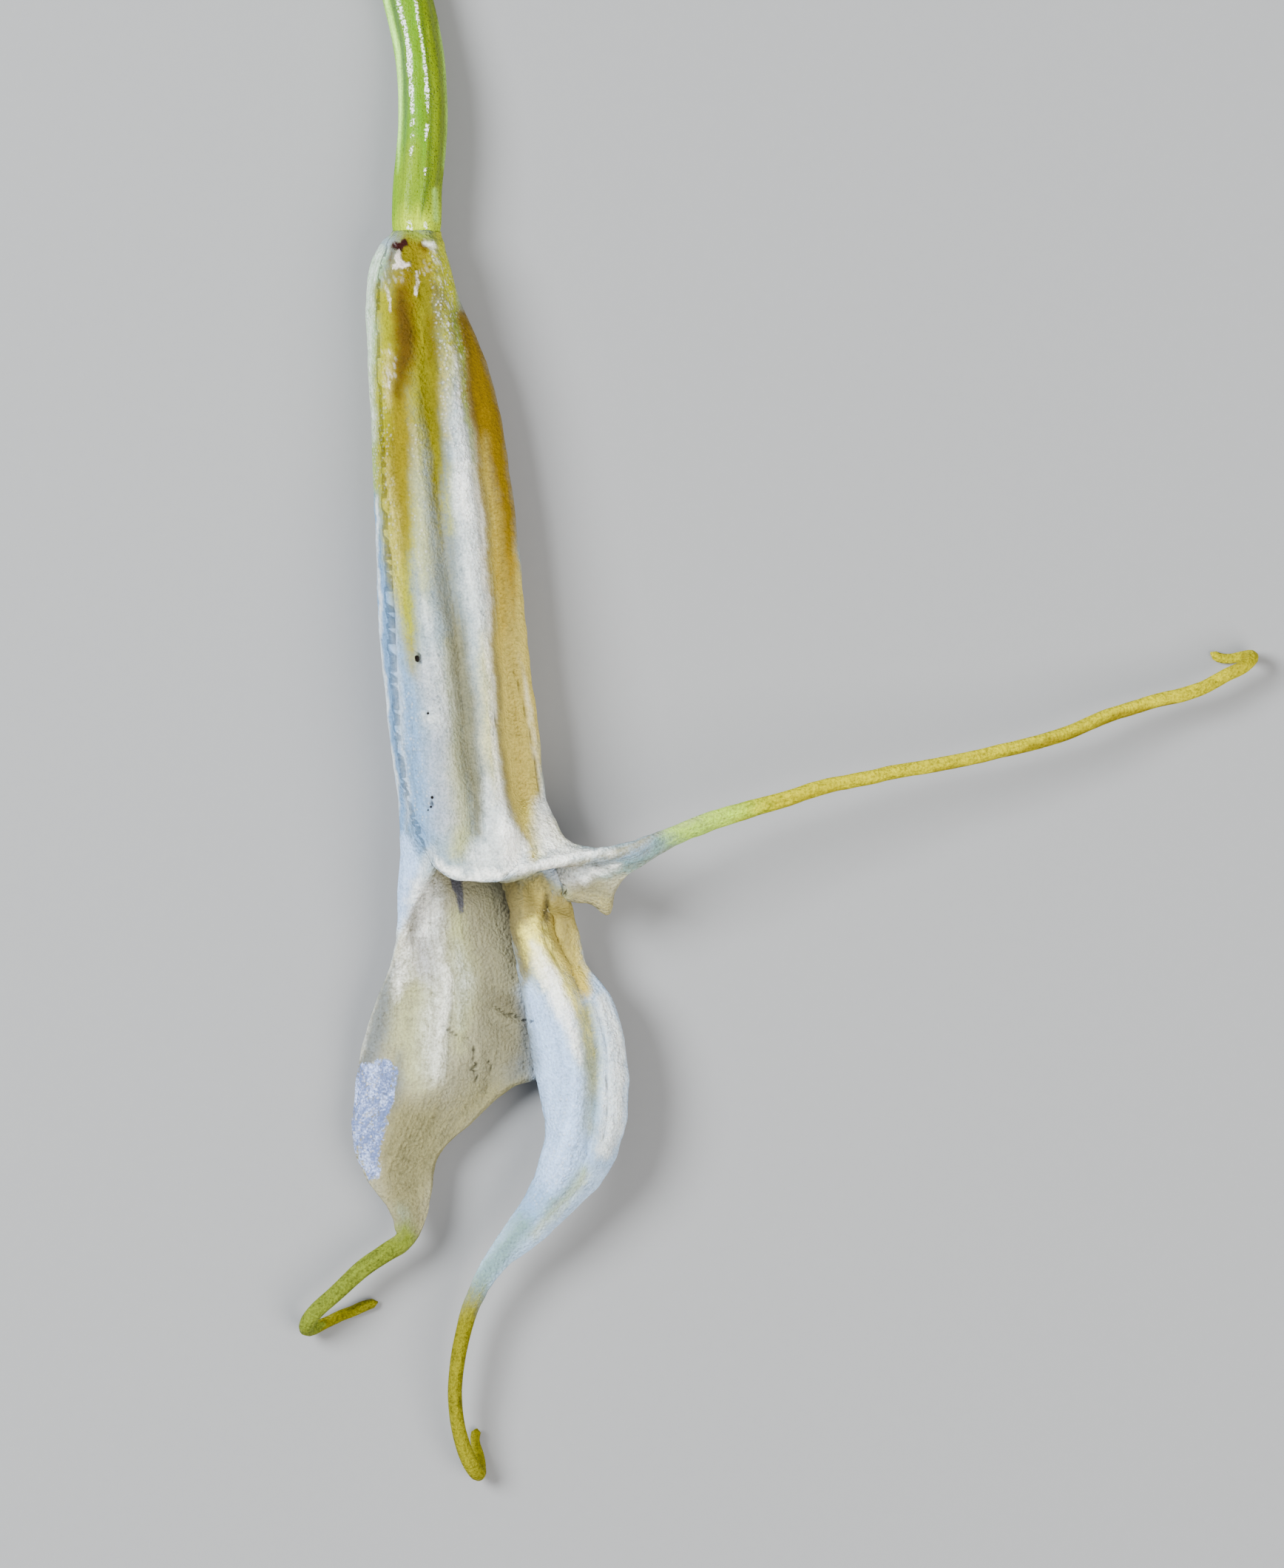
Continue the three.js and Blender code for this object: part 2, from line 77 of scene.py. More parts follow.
# Leaves the piece in edit mode with only the chosen vertices selected
def selectVertices(piece, chosen):
    bpy.ops.object.mode_set(mode="EDIT")
    bpy.ops.mesh.select_mode(type="VERT")
    bpy.ops.mesh.select_all(action="DESELECT")
    bpy.ops.object.mode_set(mode="OBJECT")
    piece.data.vertices.foreach_set("select", chosen)
    bpy.ops.object.mode_set(mode="EDIT")


def mergeDoubles():
    bpy.ops.object.mode_set(mode="EDIT")
    bpy.ops.mesh.select_all(action="SELECT")
    bpy.ops.mesh.remove_doubles(threshold=mergeDistance)
    bpy.ops.object.mode_set(mode="OBJECT")


def fillGroup(piece, name, shares):
    group = piece.vertex_groups.new(name=name)
    for index, share in enumerate(shares):
        group.add([index], float(share), "REPLACE")


def smoothStep(low, high, value):
    t = np.clip((np.asarray(value, float) - low) / (high - low), 0, 1)
    return t * t * (3 - 2 * t)


# A centripetal curve through points, read at places counted in points from the first one
def throughPoints(points, places):
    points = np.asarray(points, float)
    places = np.atleast_1d(places)
    padded = np.vstack([2 * points[0] - points[1], points, 2 * points[-1] - points[-2]])
    seg = np.clip(np.floor(places).astype(int), 0, len(points) - 2)
    t = (places - seg)[:, None]
    a, b, c, d = (padded[seg + k] for k in range(4))

    def gap(p, q):
        return np.maximum(((q - p) ** 2).sum(1, keepdims=True), 1e-12) ** 0.25

    d0, d1, d2 = gap(a, b), gap(b, c), gap(c, d)
    m0 = ((b - a) / d0 - (c - a) / (d0 + d1) + (c - b) / d1) * d1
    m1 = ((c - b) / d1 - (d - b) / (d1 + d2) + (d - c) / d2) * d1
    return b + t * (m0 + t * ((3 * (c - b) - 2 * m0 - m1) + t * (2 * (b - c) + m0 + m1)))


# The way that a curve through points runs at some places
def directions(points, places):
    last = len(points) - 1
    ahead = throughPoints(points, np.clip(places + 0.01, 0, last))
    return ahead - throughPoints(points, np.clip(places - 0.01, 0, last))


# How far each point is from a line of points, and on which side it lies (left of the line is positive)
def lineDistance(xy, line):
    line = np.asarray(line, float)
    best = np.full(len(xy), 1e9)
    side = np.zeros(len(xy))
    along = np.zeros(len(xy))
    for k in range(len(line) - 1):
        start, step = line[k], line[k + 1] - line[k]
        t = np.clip(((xy - start) @ step) / (step @ step), 0, 1)
        off = xy - (start + t[:, None] * step)
        distance = np.hypot(off[:, 0], off[:, 1])
        closer = distance < best
        best[closer] = distance[closer]
        cross = step[0] * off[:, 1] - step[1] * off[:, 0]
        side[closer] = np.sign(cross[closer])
        along[closer] = ((k + t) / (len(line) - 1))[closer]
    return best, side, along


tubeForm = {
    "spacing": {"root": 0.15, "tube": 0.26, "blade": 0.14, "tail": 0.28},     # between rows of the mesh
    "rootRows": 3,             # control rows with the first spacing, and with the first two
    "tubeRows": 9,
    "sharedRows": 12,          # the control row past which the sepals are free
    "columns": {"dorsal": 9, "right": 10, "left": 14},    # mesh columns between two control columns
    # two neighbours and the last control row that they share
    "seams": [("dorsal", "right", 12), ("right", "left", 10), ("left", "dorsal", 11)],
    "wall": 0.6,
    "collarShare": 0.22,       # of the wall where it thins out on the ovary
    "collarRows": 1.2,
    "marginShare": 0.42,       # thickness at the very margin of a blade
    "marginWidth": 0.12,       # of half of the blade's width
    "rodHalf": 0.36,           # greatest half thickness of a tail
    "rodEdge": 0.96,           # how round a tail is across
    "tipShare": 0.03,          # squared share of the width at the very tip
    "restHeight": 0.33,        # of the middle of a wall that lies on the ground
    "limbWaves": [[3.2, 0.45], [1.1, 0.1]],               # length and height
    "bodyWaves": [[1.4, 0.14], [0.45, 0.05]],
    # y, left side, left seam, left ridge, groove, right ridge, right side, height of the ridges, depth
    # of the groove, height of the floor, height of the right valley
    "stations": [
        [0.45, -1.22, -1.06, -0.6, -0.1, 0.45, 1.02, 3.43, 0.02, 1.2, 0.8],
        [-0.1, -1.47, -1.2, -0.65, -0.05, 0.45, 0.95, 3.55, 0.05, 1.15, 0.8],
        [-1.2, -2.03, -1.55, -0.8, 0, 0.7, 1.2, 3.85, 0.08, 0.8, 0.8],
        [-3.2, -2.27, -1.75, -0.75, 0.15, 1.0, 1.8, 4.15, 0.12, 0.45, 0.8],
        [-6.2, -2.12, -1.7, -0.6, 0.4, 1.5, 3.05, 4.5, 0.2, 0.34, 0.76],
        [-9.8, -1.97, -1.55, -0.2, 0.75, 1.95, 3.85, 4.8, 0.35, 0.33, 0.7],
        [-14, -1.77, -1.4, 0.2, 1.2, 2.45, 4.4, 5.1, 0.5, 0.33, 0.66],
        [-19, -1.57, -1.2, 0.7, 1.9, 3.0, 4.88, 5.45, 0.65, 0.33, 0.64],
        [-23.9, -1.08, -0.85, 1.0, 2.4, 3.4, 5.48, 5.8, 0.7, 0.33, 0.62],
        [-27, -0.68, -0.3, 1.35, 2.85, 3.75, 5.83, 6.05, 0.6, 0.33, 0.62],
    ],
}

dorsalForm = {
    "hood": [
        [[0.25, -28.6, 5.2], [1.5, -28.7, 6.15], [2.9, -28.7, 5.65], [4.25, -28.4, 6.15],
         [5.1, -28.25, 4.7], [6.3, -28.1, 3.6], [6.45, -28.6, 2.7], [6.2, -29.2, 2.0]],
        [[0.9, -30.0, 5.0], [1.9, -30.72, 5.95], [2.9, -30.93, 6.3], [3.9, -30.85, 6.2],
         [5.35, -29.4, 5.3], [6.6, -28.72, 4.0], [6.95, -29.7, 3.85], [6.9, -30.6, 3.75]],
    ],
    "blade": [
        [[5.5, -30.4, 6.0], [6.15, -29.7, 5.3], [7.03, -29.2, 4.4], [7.45, -30.5, 4.05], [7.35, -31.85, 3.4]],
        [[6.9, -30.02, 5.75], [7.3, -29.75, 5.1], [7.6, -29.5, 4.4], [8.1, -30.6, 4.1], [8.3, -32.0, 3.4]],
        [[8.0, -29.8, 5.65], [8.2, -29.73, 5.15], [8.4, -29.7, 4.6], [8.8, -30.7, 4.2], [9.2, -32.5, 3.4]],
        [[9.0, -29.55, 5.6], [9.15, -29.7, 5.2], [9.3, -29.9, 4.8], [9.45, -30.5, 4.4], [9.55, -31.4, 3.9]],
        [[10.3, -29.1, 5.5], [10.35, -29.4, 5.3], [10.4, -29.7, 5.05], [10.5, -29.95, 4.8],
         [10.55, -30.2, 4.6]],
    ],
    # x, y, z and half of the width along the tail
    "tail": [
        [12.0, -28.9, 5.0, 0.5], [13.6, -28.25, 4.85, 0.47], [15.3, -27.7, 4.7, 0.45],
        [17.25, -27.1, 4.5, 0.4], [19.1, -26.5, 4.3, 0.36], [21.1, -26.1, 4.05, 0.34],
        [23.6, -25.6, 3.7, 0.33], [26.2, -25.1, 3.35, 0.33], [28.9, -24.5, 2.95, 0.33],
        [30.9, -23.9, 2.65, 0.33], [32.9, -23.1, 2.4, 0.33], [35.6, -22.3, 2.1, 0.33],
        [37.6, -21.75, 1.9, 0.33], [39.1, -21.0, 1.75, 0.32], [39.95, -20.55, 1.65, 0.31],
        [40.35, -20.2, 1.3, 0.3], [40.3, -20.05, 0.8, 0.28], [39.85, -20.1, 0.42, 0.25],
        [39.3, -20.2, 0.27, 0.24], [38.75, -20.15, 0.25, 0.23], [38.35, -19.9, 0.25, 0.18],
    ],
    "across": [0.3, -1, -0.5],
}

rightForm = {
    "blade": [
        [[6.2, -29.2, 2.0], [5.6, -29.1, 1.9], [5.0, -29.0, 1.75], [4.4, -28.8, 1.3], [3.8, -28.6, 0.55]],
        [[6.9, -30.6, 3.75], [6.4, -30.75, 3.8], [5.7, -30.45, 3.9], [4.95, -30.2, 3.8], [4.15, -30.1, 2.9]],
        [[7.35, -31.85, 3.4], [6.8, -31.95, 3.35], [6.15, -31.55, 3.65], [5.3, -31.25, 3.7],
         [4.25, -31.3, 3.1]],
        [[7.5, -32.5, 2.7], [6.95, -32.5, 2.6], [6.2, -32.35, 2.45], [5.45, -32.25, 2.9], [4.42, -32.4, 2.8]],
        [[7.65, -33.3, 2.4], [7.05, -33.3, 2.6], [6.25, -33.3, 2.4], [5.5, -33.3, 3.3], [4.55, -33.4, 2.6]],
        [[8.05, -34.9, 2.3], [7.55, -35.0, 2.8], [6.95, -35.1, 3.0], [6.2, -35.1, 3.9], [4.9, -35.3, 2.7]],
        [[9.35, -36.8, 2.7], [8.7, -37.1, 3.2], [8.0, -37.2, 3.4], [7.0, -37.2, 4.3], [5.35, -37.5, 2.7]],
        [[10.0, -39.8, 2.8], [9.25, -40.0, 3.5], [8.5, -40.0, 3.4], [7.5, -40.0, 4.1], [5.8, -40.2, 2.6]],
        [[9.8, -43.0, 2.8], [9.15, -43.1, 3.5], [8.35, -43.2, 3.4], [7.4, -43.2, 3.8], [6.2, -43.1, 2.6]],
        [[8.7, -45.4, 2.6], [8.1, -45.5, 3.2], [7.4, -45.6, 3.3], [6.6, -45.6, 3.4], [5.6, -45.4, 2.6]],
        [[6.15, -47.85, 2.4], [5.75, -47.85, 2.8], [5.2, -47.85, 2.9], [4.65, -47.8, 2.8], [4.1, -47.7, 2.5]],
        [[4.0, -49.75, 2.3], [3.8, -49.7, 2.4], [3.5, -49.65, 2.45], [3.3, -49.6, 2.4], [3.0, -49.5, 2.3]],
    ],
    "tail": [
        [2.62, -51.3, 2.2, 0.42], [2.2, -52.6, 2.1, 0.38], [1.88, -54.2, 1.98, 0.36],
        [1.75, -55.8, 1.85, 0.34], [1.9, -57.3, 1.75, 0.34], [2.25, -58.6, 1.6, 0.37],
        [2.62, -59.35, 1.35, 0.38], [2.85, -59.64, 0.9, 0.35], [2.88, -59.35, 0.48, 0.3],
        [2.8, -58.7, 0.28, 0.25], [2.68, -58.05, 0.25, 0.22], [2.8, -57.5, 0.27, 0.25],
    ],
    "across": [-1, 0, 0],
}

leftForm = {
    "blade": [
        [[3.8, -28.6, 0.55], [2.0, -28.7, 0.5], [0.35, -28.7, 1.2], [-0.55, -28.6, 3.0], [0.25, -28.6, 5.2]],
        [[3.95, -30.2, 0.5], [2.1, -30.3, 1.1], [0.45, -30.2, 2.4], [-0.6, -30.1, 3.2], [0.9, -30.0, 5.0]],
        [[4.8, -31.8, 0.7], [2.5, -31.8, 1.7], [0.65, -31.7, 2.75], [-0.65, -31.6, 3.15], [0.2, -31.3, 4.2]],
        [[5.2, -33.5, 0.9], [2.8, -33.5, 1.7], [0.7, -33.4, 2.4], [-0.55, -33.4, 2.85], [-0.8, -33.4, 3.35]],
        [[5.6, -35.3, 1.1], [3.3, -35.3, 1.6], [1.2, -35.3, 2.1], [-0.3, -35.2, 2.2], [-1.4, -35.2, 2.35]],
        [[6.1, -37.4, 1.2], [3.6, -37.4, 1.4], [1.3, -37.4, 2.2], [-0.6, -37.3, 1.9], [-2.25, -37.3, 1.9]],
        [[6.5, -40.1, 1.3], [3.9, -39.7, 1.3], [1.2, -39.6, 2.2], [-1.0, -39.6, 2.0], [-2.85, -39.6, 1.5]],
        [[4.5, -40.95, 1.3], [3.1, -41.2, 1.3], [0.9, -41.4, 2.0], [-1.2, -41.5, 2.1], [-3.08, -41.5, 1.4]],
        [[2.75, -42.45, 1.4], [1.6, -42.9, 1.5], [0.0, -43.2, 1.8], [-1.6, -43.4, 2.1], [-3.15, -43.4, 1.5]],
        [[0.95, -44.3, 1.5], [0.2, -44.8, 1.5], [-0.7, -45.1, 1.7], [-1.6, -45.2, 1.9], [-2.5, -45.2, 1.6]],
        [[0.52, -46.4, 1.5], [0.15, -46.5, 1.6], [-0.35, -46.6, 1.7], [-0.9, -46.7, 1.7],
         [-1.4, -46.75, 1.6]],
        [[0.15, -47.7, 1.55], [-0.1, -47.7, 1.6], [-0.4, -47.75, 1.65], [-0.75, -47.8, 1.65],
         [-1.1, -47.75, 1.6]],
    ],
    "tail": [
        [-0.8, -48.4, 1.65, 0.48], [-1.55, -48.9, 1.7, 0.45], [-2.7, -49.68, 1.72, 0.43],
        [-4.0, -50.88, 1.75, 0.4], [-4.9, -51.7, 1.7, 0.38], [-5.27, -52.15, 1.5, 0.37],
        [-5.38, -52.55, 1.05, 0.35], [-5.1, -52.58, 0.6, 0.32], [-4.5, -52.3, 0.33, 0.28],
        [-3.6, -51.92, 0.27, 0.25], [-2.7, -51.6, 0.26, 0.25], [-2.0, -51.36, 0.25, 0.2],
    ],
    "across": [-1, 0.1, 0],
}


# One ring of the tube, from the left seam over the front, down the right side and along the floor
def stationRing(station):
    y, left, seam, ridgeLeft, groove, ridgeRight, right, top, dip, floor, valley = station
    width, height = right - left, top - floor

    def at(x, share):
        return [x, y, floor + share * height]

    leftSeam = at(seam, 0.76)
    rightSeam = at(right - 0.1 * width, 0.09)
    backSeam = at(right - 0.5 * width, 0)
    return {
        "dorsal": [
            leftSeam, at(ridgeLeft, 1), at(groove, 1 - dip / height), at(ridgeRight, 1),
            at(right - 0.55 * (right - ridgeRight), valley), at(right, 0.48),
            at(right - 0.02 * width, 0.26), rightSeam],
        "right": [
            rightSeam, at(right - 0.18 * width, 0.01), at(right - 0.28 * width, 0),
            at(right - 0.39 * width, 0), backSeam],
        "left": [backSeam, at(left + 0.3 * width, 0), at(left + 0.1 * width, 0.13), at(left, 0.42), leftSeam],
    }


# Rows across a tail: its width stays square to its path and turns no more than the path does
def tailRows(tail, columns, across):
    centres = np.array(tail)[:, :3]
    tangents = directions(centres, np.arange(len(tail), dtype=float))
    across = np.array(across, float)
    rows = []
    for k, entry in enumerate(tail):
        along = tangents[k] / np.linalg.norm(tangents[k])
        across = across - along * (across @ along)
        across /= np.linalg.norm(across)
        rows.append([centres[k] + across * entry[3] * u for u in np.linspace(-1, 1, columns)])
    return rows


# All control rows of a sepal, with the number of rows before its tail. Missing columns are not a number.
def controlRows(name, form):
    columns = len(form["blade"][0])
    rows = [stationRing(station)[name] for station in tubeForm["stations"]]
    rows += form.get("hood", []) + form["blade"]
    tailStart = len(rows)
    rows += tailRows(form["tail"], columns, form["across"])
    full = len(rows[0])
    net = np.full((len(rows), full, 3), np.nan)
    for k, row in enumerate(rows):
        net[k, full - len(row):] = row
    return net, tailStart


# Where the mesh rows lie between two control rows, counted in control rows
def rowPlaces(net, first, last, tailStart):
    middle = net[:, -3]
    places = []
    for k in range(first, last):
        part = "tail"
        if k < tailStart:
            part = "root" if k < tubeForm["rootRows"] else "tube" if k < tubeForm["tubeRows"] else "blade"
        length = np.linalg.norm(middle[k + 1] - middle[k])
        count = max(2, math.ceil(length / tubeForm["spacing"][part]))
        places += [k + (j + 1) / count for j in range(count)]
    return places


# The fine points of a sepal's middle surface, with half of the thickness at each
def finePoints(net, tailStart, places, perColumn, tail):
    form = tubeForm
    full = net.shape[1]
    lines = []
    for c in range(full):
        have = ~np.isnan(net[:, c, 0])
        last = have.sum() - 1
        line = throughPoints(net[have, c], np.clip(places, 0, last))
        line[places > last + 1e-9] = np.nan
        lines.append(line)
    lines = np.array(lines).transpose(1, 0, 2)
    fine = np.full((len(places), (full - 1) * perColumn + 1, 3), np.nan)
    half = np.full(fine.shape[:2], form["wall"] / 2)
    tailHalf = np.array([entry[3] for entry in tail])
    lengths = np.r_[0, np.cumsum(np.linalg.norm(np.diff(lines[:, -3], axis=0), axis=1))]
    for r, place in enumerate(places):
        kept = lines[r][~np.isnan(lines[r][:, 0])]
        count = (len(kept) - 1) * perColumn
        cols = np.linspace(0, len(kept) - 1, count + 1)
        row = throughPoints(kept, cols)
        u = 2 * cols / (len(kept) - 1) - 1
        bladeHalf = form["wall"] / 2 * np.ones(count + 1)
        collar = smoothStep(0, form["collarRows"], place)
        bladeHalf *= form["collarShare"] + (1 - form["collarShare"]) * collar
        if place > form["sharedRows"]:
            inward = np.sqrt(np.clip((1 - np.abs(u)) / form["marginWidth"], 0, 1))
            bladeHalf *= 1 - (1 - form["marginShare"]) * smoothStep(1, form["marginShare"], inward)
        inTail = np.clip(place - tailStart + 1, 0, 1)
        if inTail > 0:
            width = np.interp(place - tailStart, np.arange(len(tail)), tailHalf)
            rod = min(width, form["rodHalf"]) * np.sqrt(np.clip(1 - form["rodEdge"] * u * u, 0, 1))
            bladeHalf = bladeHalf * (1 - inTail) + rod * inTail
            fromTip = lengths[-1] - lengths[r]
            if fromTip < width:
                share = math.sqrt(max(form["tipShare"], 1 - (1 - fromTip / width) ** 2))
                row = row.mean(0) + (row - row.mean(0)) * share
                bladeHalf = bladeHalf * share
        row[:, 2] = np.maximum(row[:, 2], np.minimum(bladeHalf, form["restHeight"]))
        fine[r, -(count + 1):] = row
        half[r, -(count + 1):] = bladeHalf
    return fine, half, lengths


def sepalGrids():
    forms = {"dorsal": dorsalForm, "right": rightForm, "left": leftForm}
    nets = {name: controlRows(name, form) for name, form in forms.items()}
    start = tubeForm["sharedRows"]
    shared = [0.0] + rowPlaces(nets["dorsal"][0], 0, start, nets["dorsal"][1])
    grids = {}
    for name, (net, tailStart) in nets.items():
        places = np.array(shared + rowPlaces(net, start, len(net) - 1, tailStart))
        perColumn = tubeForm["columns"][name]
        fine, half, lengths = finePoints(net, tailStart, places, perColumn, forms[name]["tail"])
        steps = np.nan_to_num(np.linalg.norm(np.diff(fine, axis=1), axis=2))
        across = np.cumsum(np.pad(steps, ((0, 0), (1, 0))), axis=1)
        across -= across[:, [-1 - 2 * perColumn]]
        grids[name] = {"points": fine, "half": half, "places": places, "tailStart": tailStart,
                       "across": across, "lengths": lengths}
    for a, b, notch in tubeForm["seams"]:
        rows = np.array(shared) <= notch + 1e-9
        one, two = grids[a], grids[b]
        count = rows.sum()
        both = (one["points"][:count, -1] + two["points"][:count, 0]) / 2
        one["points"][:count, -1] = both
        two["points"][:count, 0] = both
        one["half"][:count, -1] = one["half"][:count, -2]
        two["half"][:count, 0] = one["half"][:count, -2]
    return grids


# A grid whose vertices are moved to the given rows of points. Rows run along Y of the grid.
def gridPiece(name, points, numbers):
    rows, columns = points.shape[:2]
    deselectAll()
    bpy.ops.mesh.primitive_grid_add(x_subdivisions=columns - 1, y_subdivisions=rows - 1, size=0.01)
    piece = bpy.context.object
    piece.name = name
    flat = points.reshape(-1, 3)
    missing = np.isnan(flat[:, 0])
    piece.data.vertices.foreach_set("co", metres(np.nan_to_num(flat)).astype(np.float32).ravel())
    for key, values in numbers.items():
        layer = piece.data.attributes.new(key, "FLOAT", "POINT")
        layer.data.foreach_set("value", np.nan_to_num(values.reshape(-1)).astype(np.float32))
    if missing.any():
        selectVertices(piece, missing)
        bpy.ops.mesh.delete(type="VERT")
        bpy.ops.object.mode_set(mode="OBJECT")
    piece.data.update()
    return piece


def joined(pieces, name):
    deselectAll()
    for piece in pieces:
        piece.select_set(True)
    bpy.context.view_layer.objects.active = pieces[0]
    bpy.ops.object.join()
    piece = bpy.context.object
    piece.name = name
    piece.data.name = name
    mergeDoubles()
    return piece


def readNumbers(piece, key):
    values = np.zeros(len(piece.data.vertices), np.float32)
    piece.data.attributes[key].data.foreach_get("value", values)
    return values


def writeNumbers(piece, key, values):
    layer = piece.data.attributes.get(key) or piece.data.attributes.new(key, "FLOAT", "POINT")
    layer.data.foreach_set("value", np.asarray(values, np.float32))


def vertexPlaces(piece):
    flat = np.zeros(len(piece.data.vertices) * 3, np.float32)
    piece.data.vertices.foreach_get("co", flat)
    return flat.reshape(-1, 3).astype(float) * 1000 - toFrame


def placeVertices(piece, points):
    piece.data.vertices.foreach_set("co", metres(points).astype(np.float32).ravel())
    piece.data.update()


def readNormals(piece):
    flat = np.zeros(len(piece.data.vertices) * 3, np.float32)
    piece.data.vertices.foreach_get("normal", flat)
    return flat.reshape(-1, 3).astype(float)


# How far each point lies outside a stroke: a line of x, y and half of the stroke's width there
def strokeDistance(xy, line):
    line = np.asarray(line, float)
    far = 4.0
    closest = np.full(len(xy), far)
    near = ((xy > line[:, :2].min(0) - far) & (xy < line[:, :2].max(0) + far)).all(1)
    spots = xy[near]
    best = np.full(len(spots), far)
    for k in range(len(line) - 1):
        start, step = line[k, :2], line[k + 1, :2] - line[k, :2]
        t = np.clip(((spots - start) @ step) / (step @ step), 0, 1)
        off = spots - (start + t[:, None] * step)
        best = np.minimum(best, np.hypot(off[:, 0], off[:, 1]) - line[k, 2] * (1 - t) - line[k + 1, 2] * t)
    closest[near] = best
    return closest


# Steps in the sheets. One side of each line rises and the other side drops, by millimetres that fade over
# the two reaches. Ends fade too, over a share of the line.
sheetSteps = {
    "frontPanel": {
        "line": [[1.8, -2.9], [2.62, -9.8], [3.0, -12.5], [3.25, -15.3], [3.6, -19.9], [3.75, -23.6],
                 [4.0, -26.2], [4.4, -28.1], [5.1, -29.0], [5.65, -29.95]],
        "sepal": 0, "rise": 0.06, "riseReach": 0.35, "drop": 0.34, "dropReach": 0.75, "ends": (0.2, 0.02),
        "over": 3.0},
    "leftCrest": {
        "line": [[1.35, -33.2], [1.4, -35.9], [1.25, -37.4], [1.05, -40.0], [0.85, -41.2], [0.7, -42.6]],
        "sepal": 2, "rise": 0.22, "riseReach": 0.9, "drop": 0.06, "dropReach": 0.8, "ends": (0.5, 0.5),
        "over": 0.5},
    "rightCrest": {
        "line": [[6.15, -31.7], [6.05, -33.0], [6.2, -33.6], [6.5, -34.4], [7.0, -35.1], [7.3, -36.3],
                 [7.5, -37.5], [7.8, -39.0], [8.0, -41.0], [8.1, -43.4]],
        "sepal": 1, "rise": 0.22, "riseReach": 0.5, "drop": 0.3, "dropReach": 0.7, "ends": (0.1, 0.35),
        "over": 0.5},
    "flapEdge": {
        "line": [[8.6, -32.0], [7.7, -31.97], [7.1, -31.85], [6.4, -31.65], [5.7, -31.5]],
        "sepal": 1, "rise": 0.0, "riseReach": 0.4, "drop": 0.45, "dropReach": 0.7, "ends": (0.02, 0.5),
        "over": 0.5, "dropSide": -1, "dropStart": 0.2},
}

stepRound = 0.08               # the rounding of a step's upper edge


# A small lump or cut: its height, how far it fades out, and x, y and half of the width along it
def mark(height, soft, *line, **more):
    return {"height": height, "soft": soft, "line": line, **more}


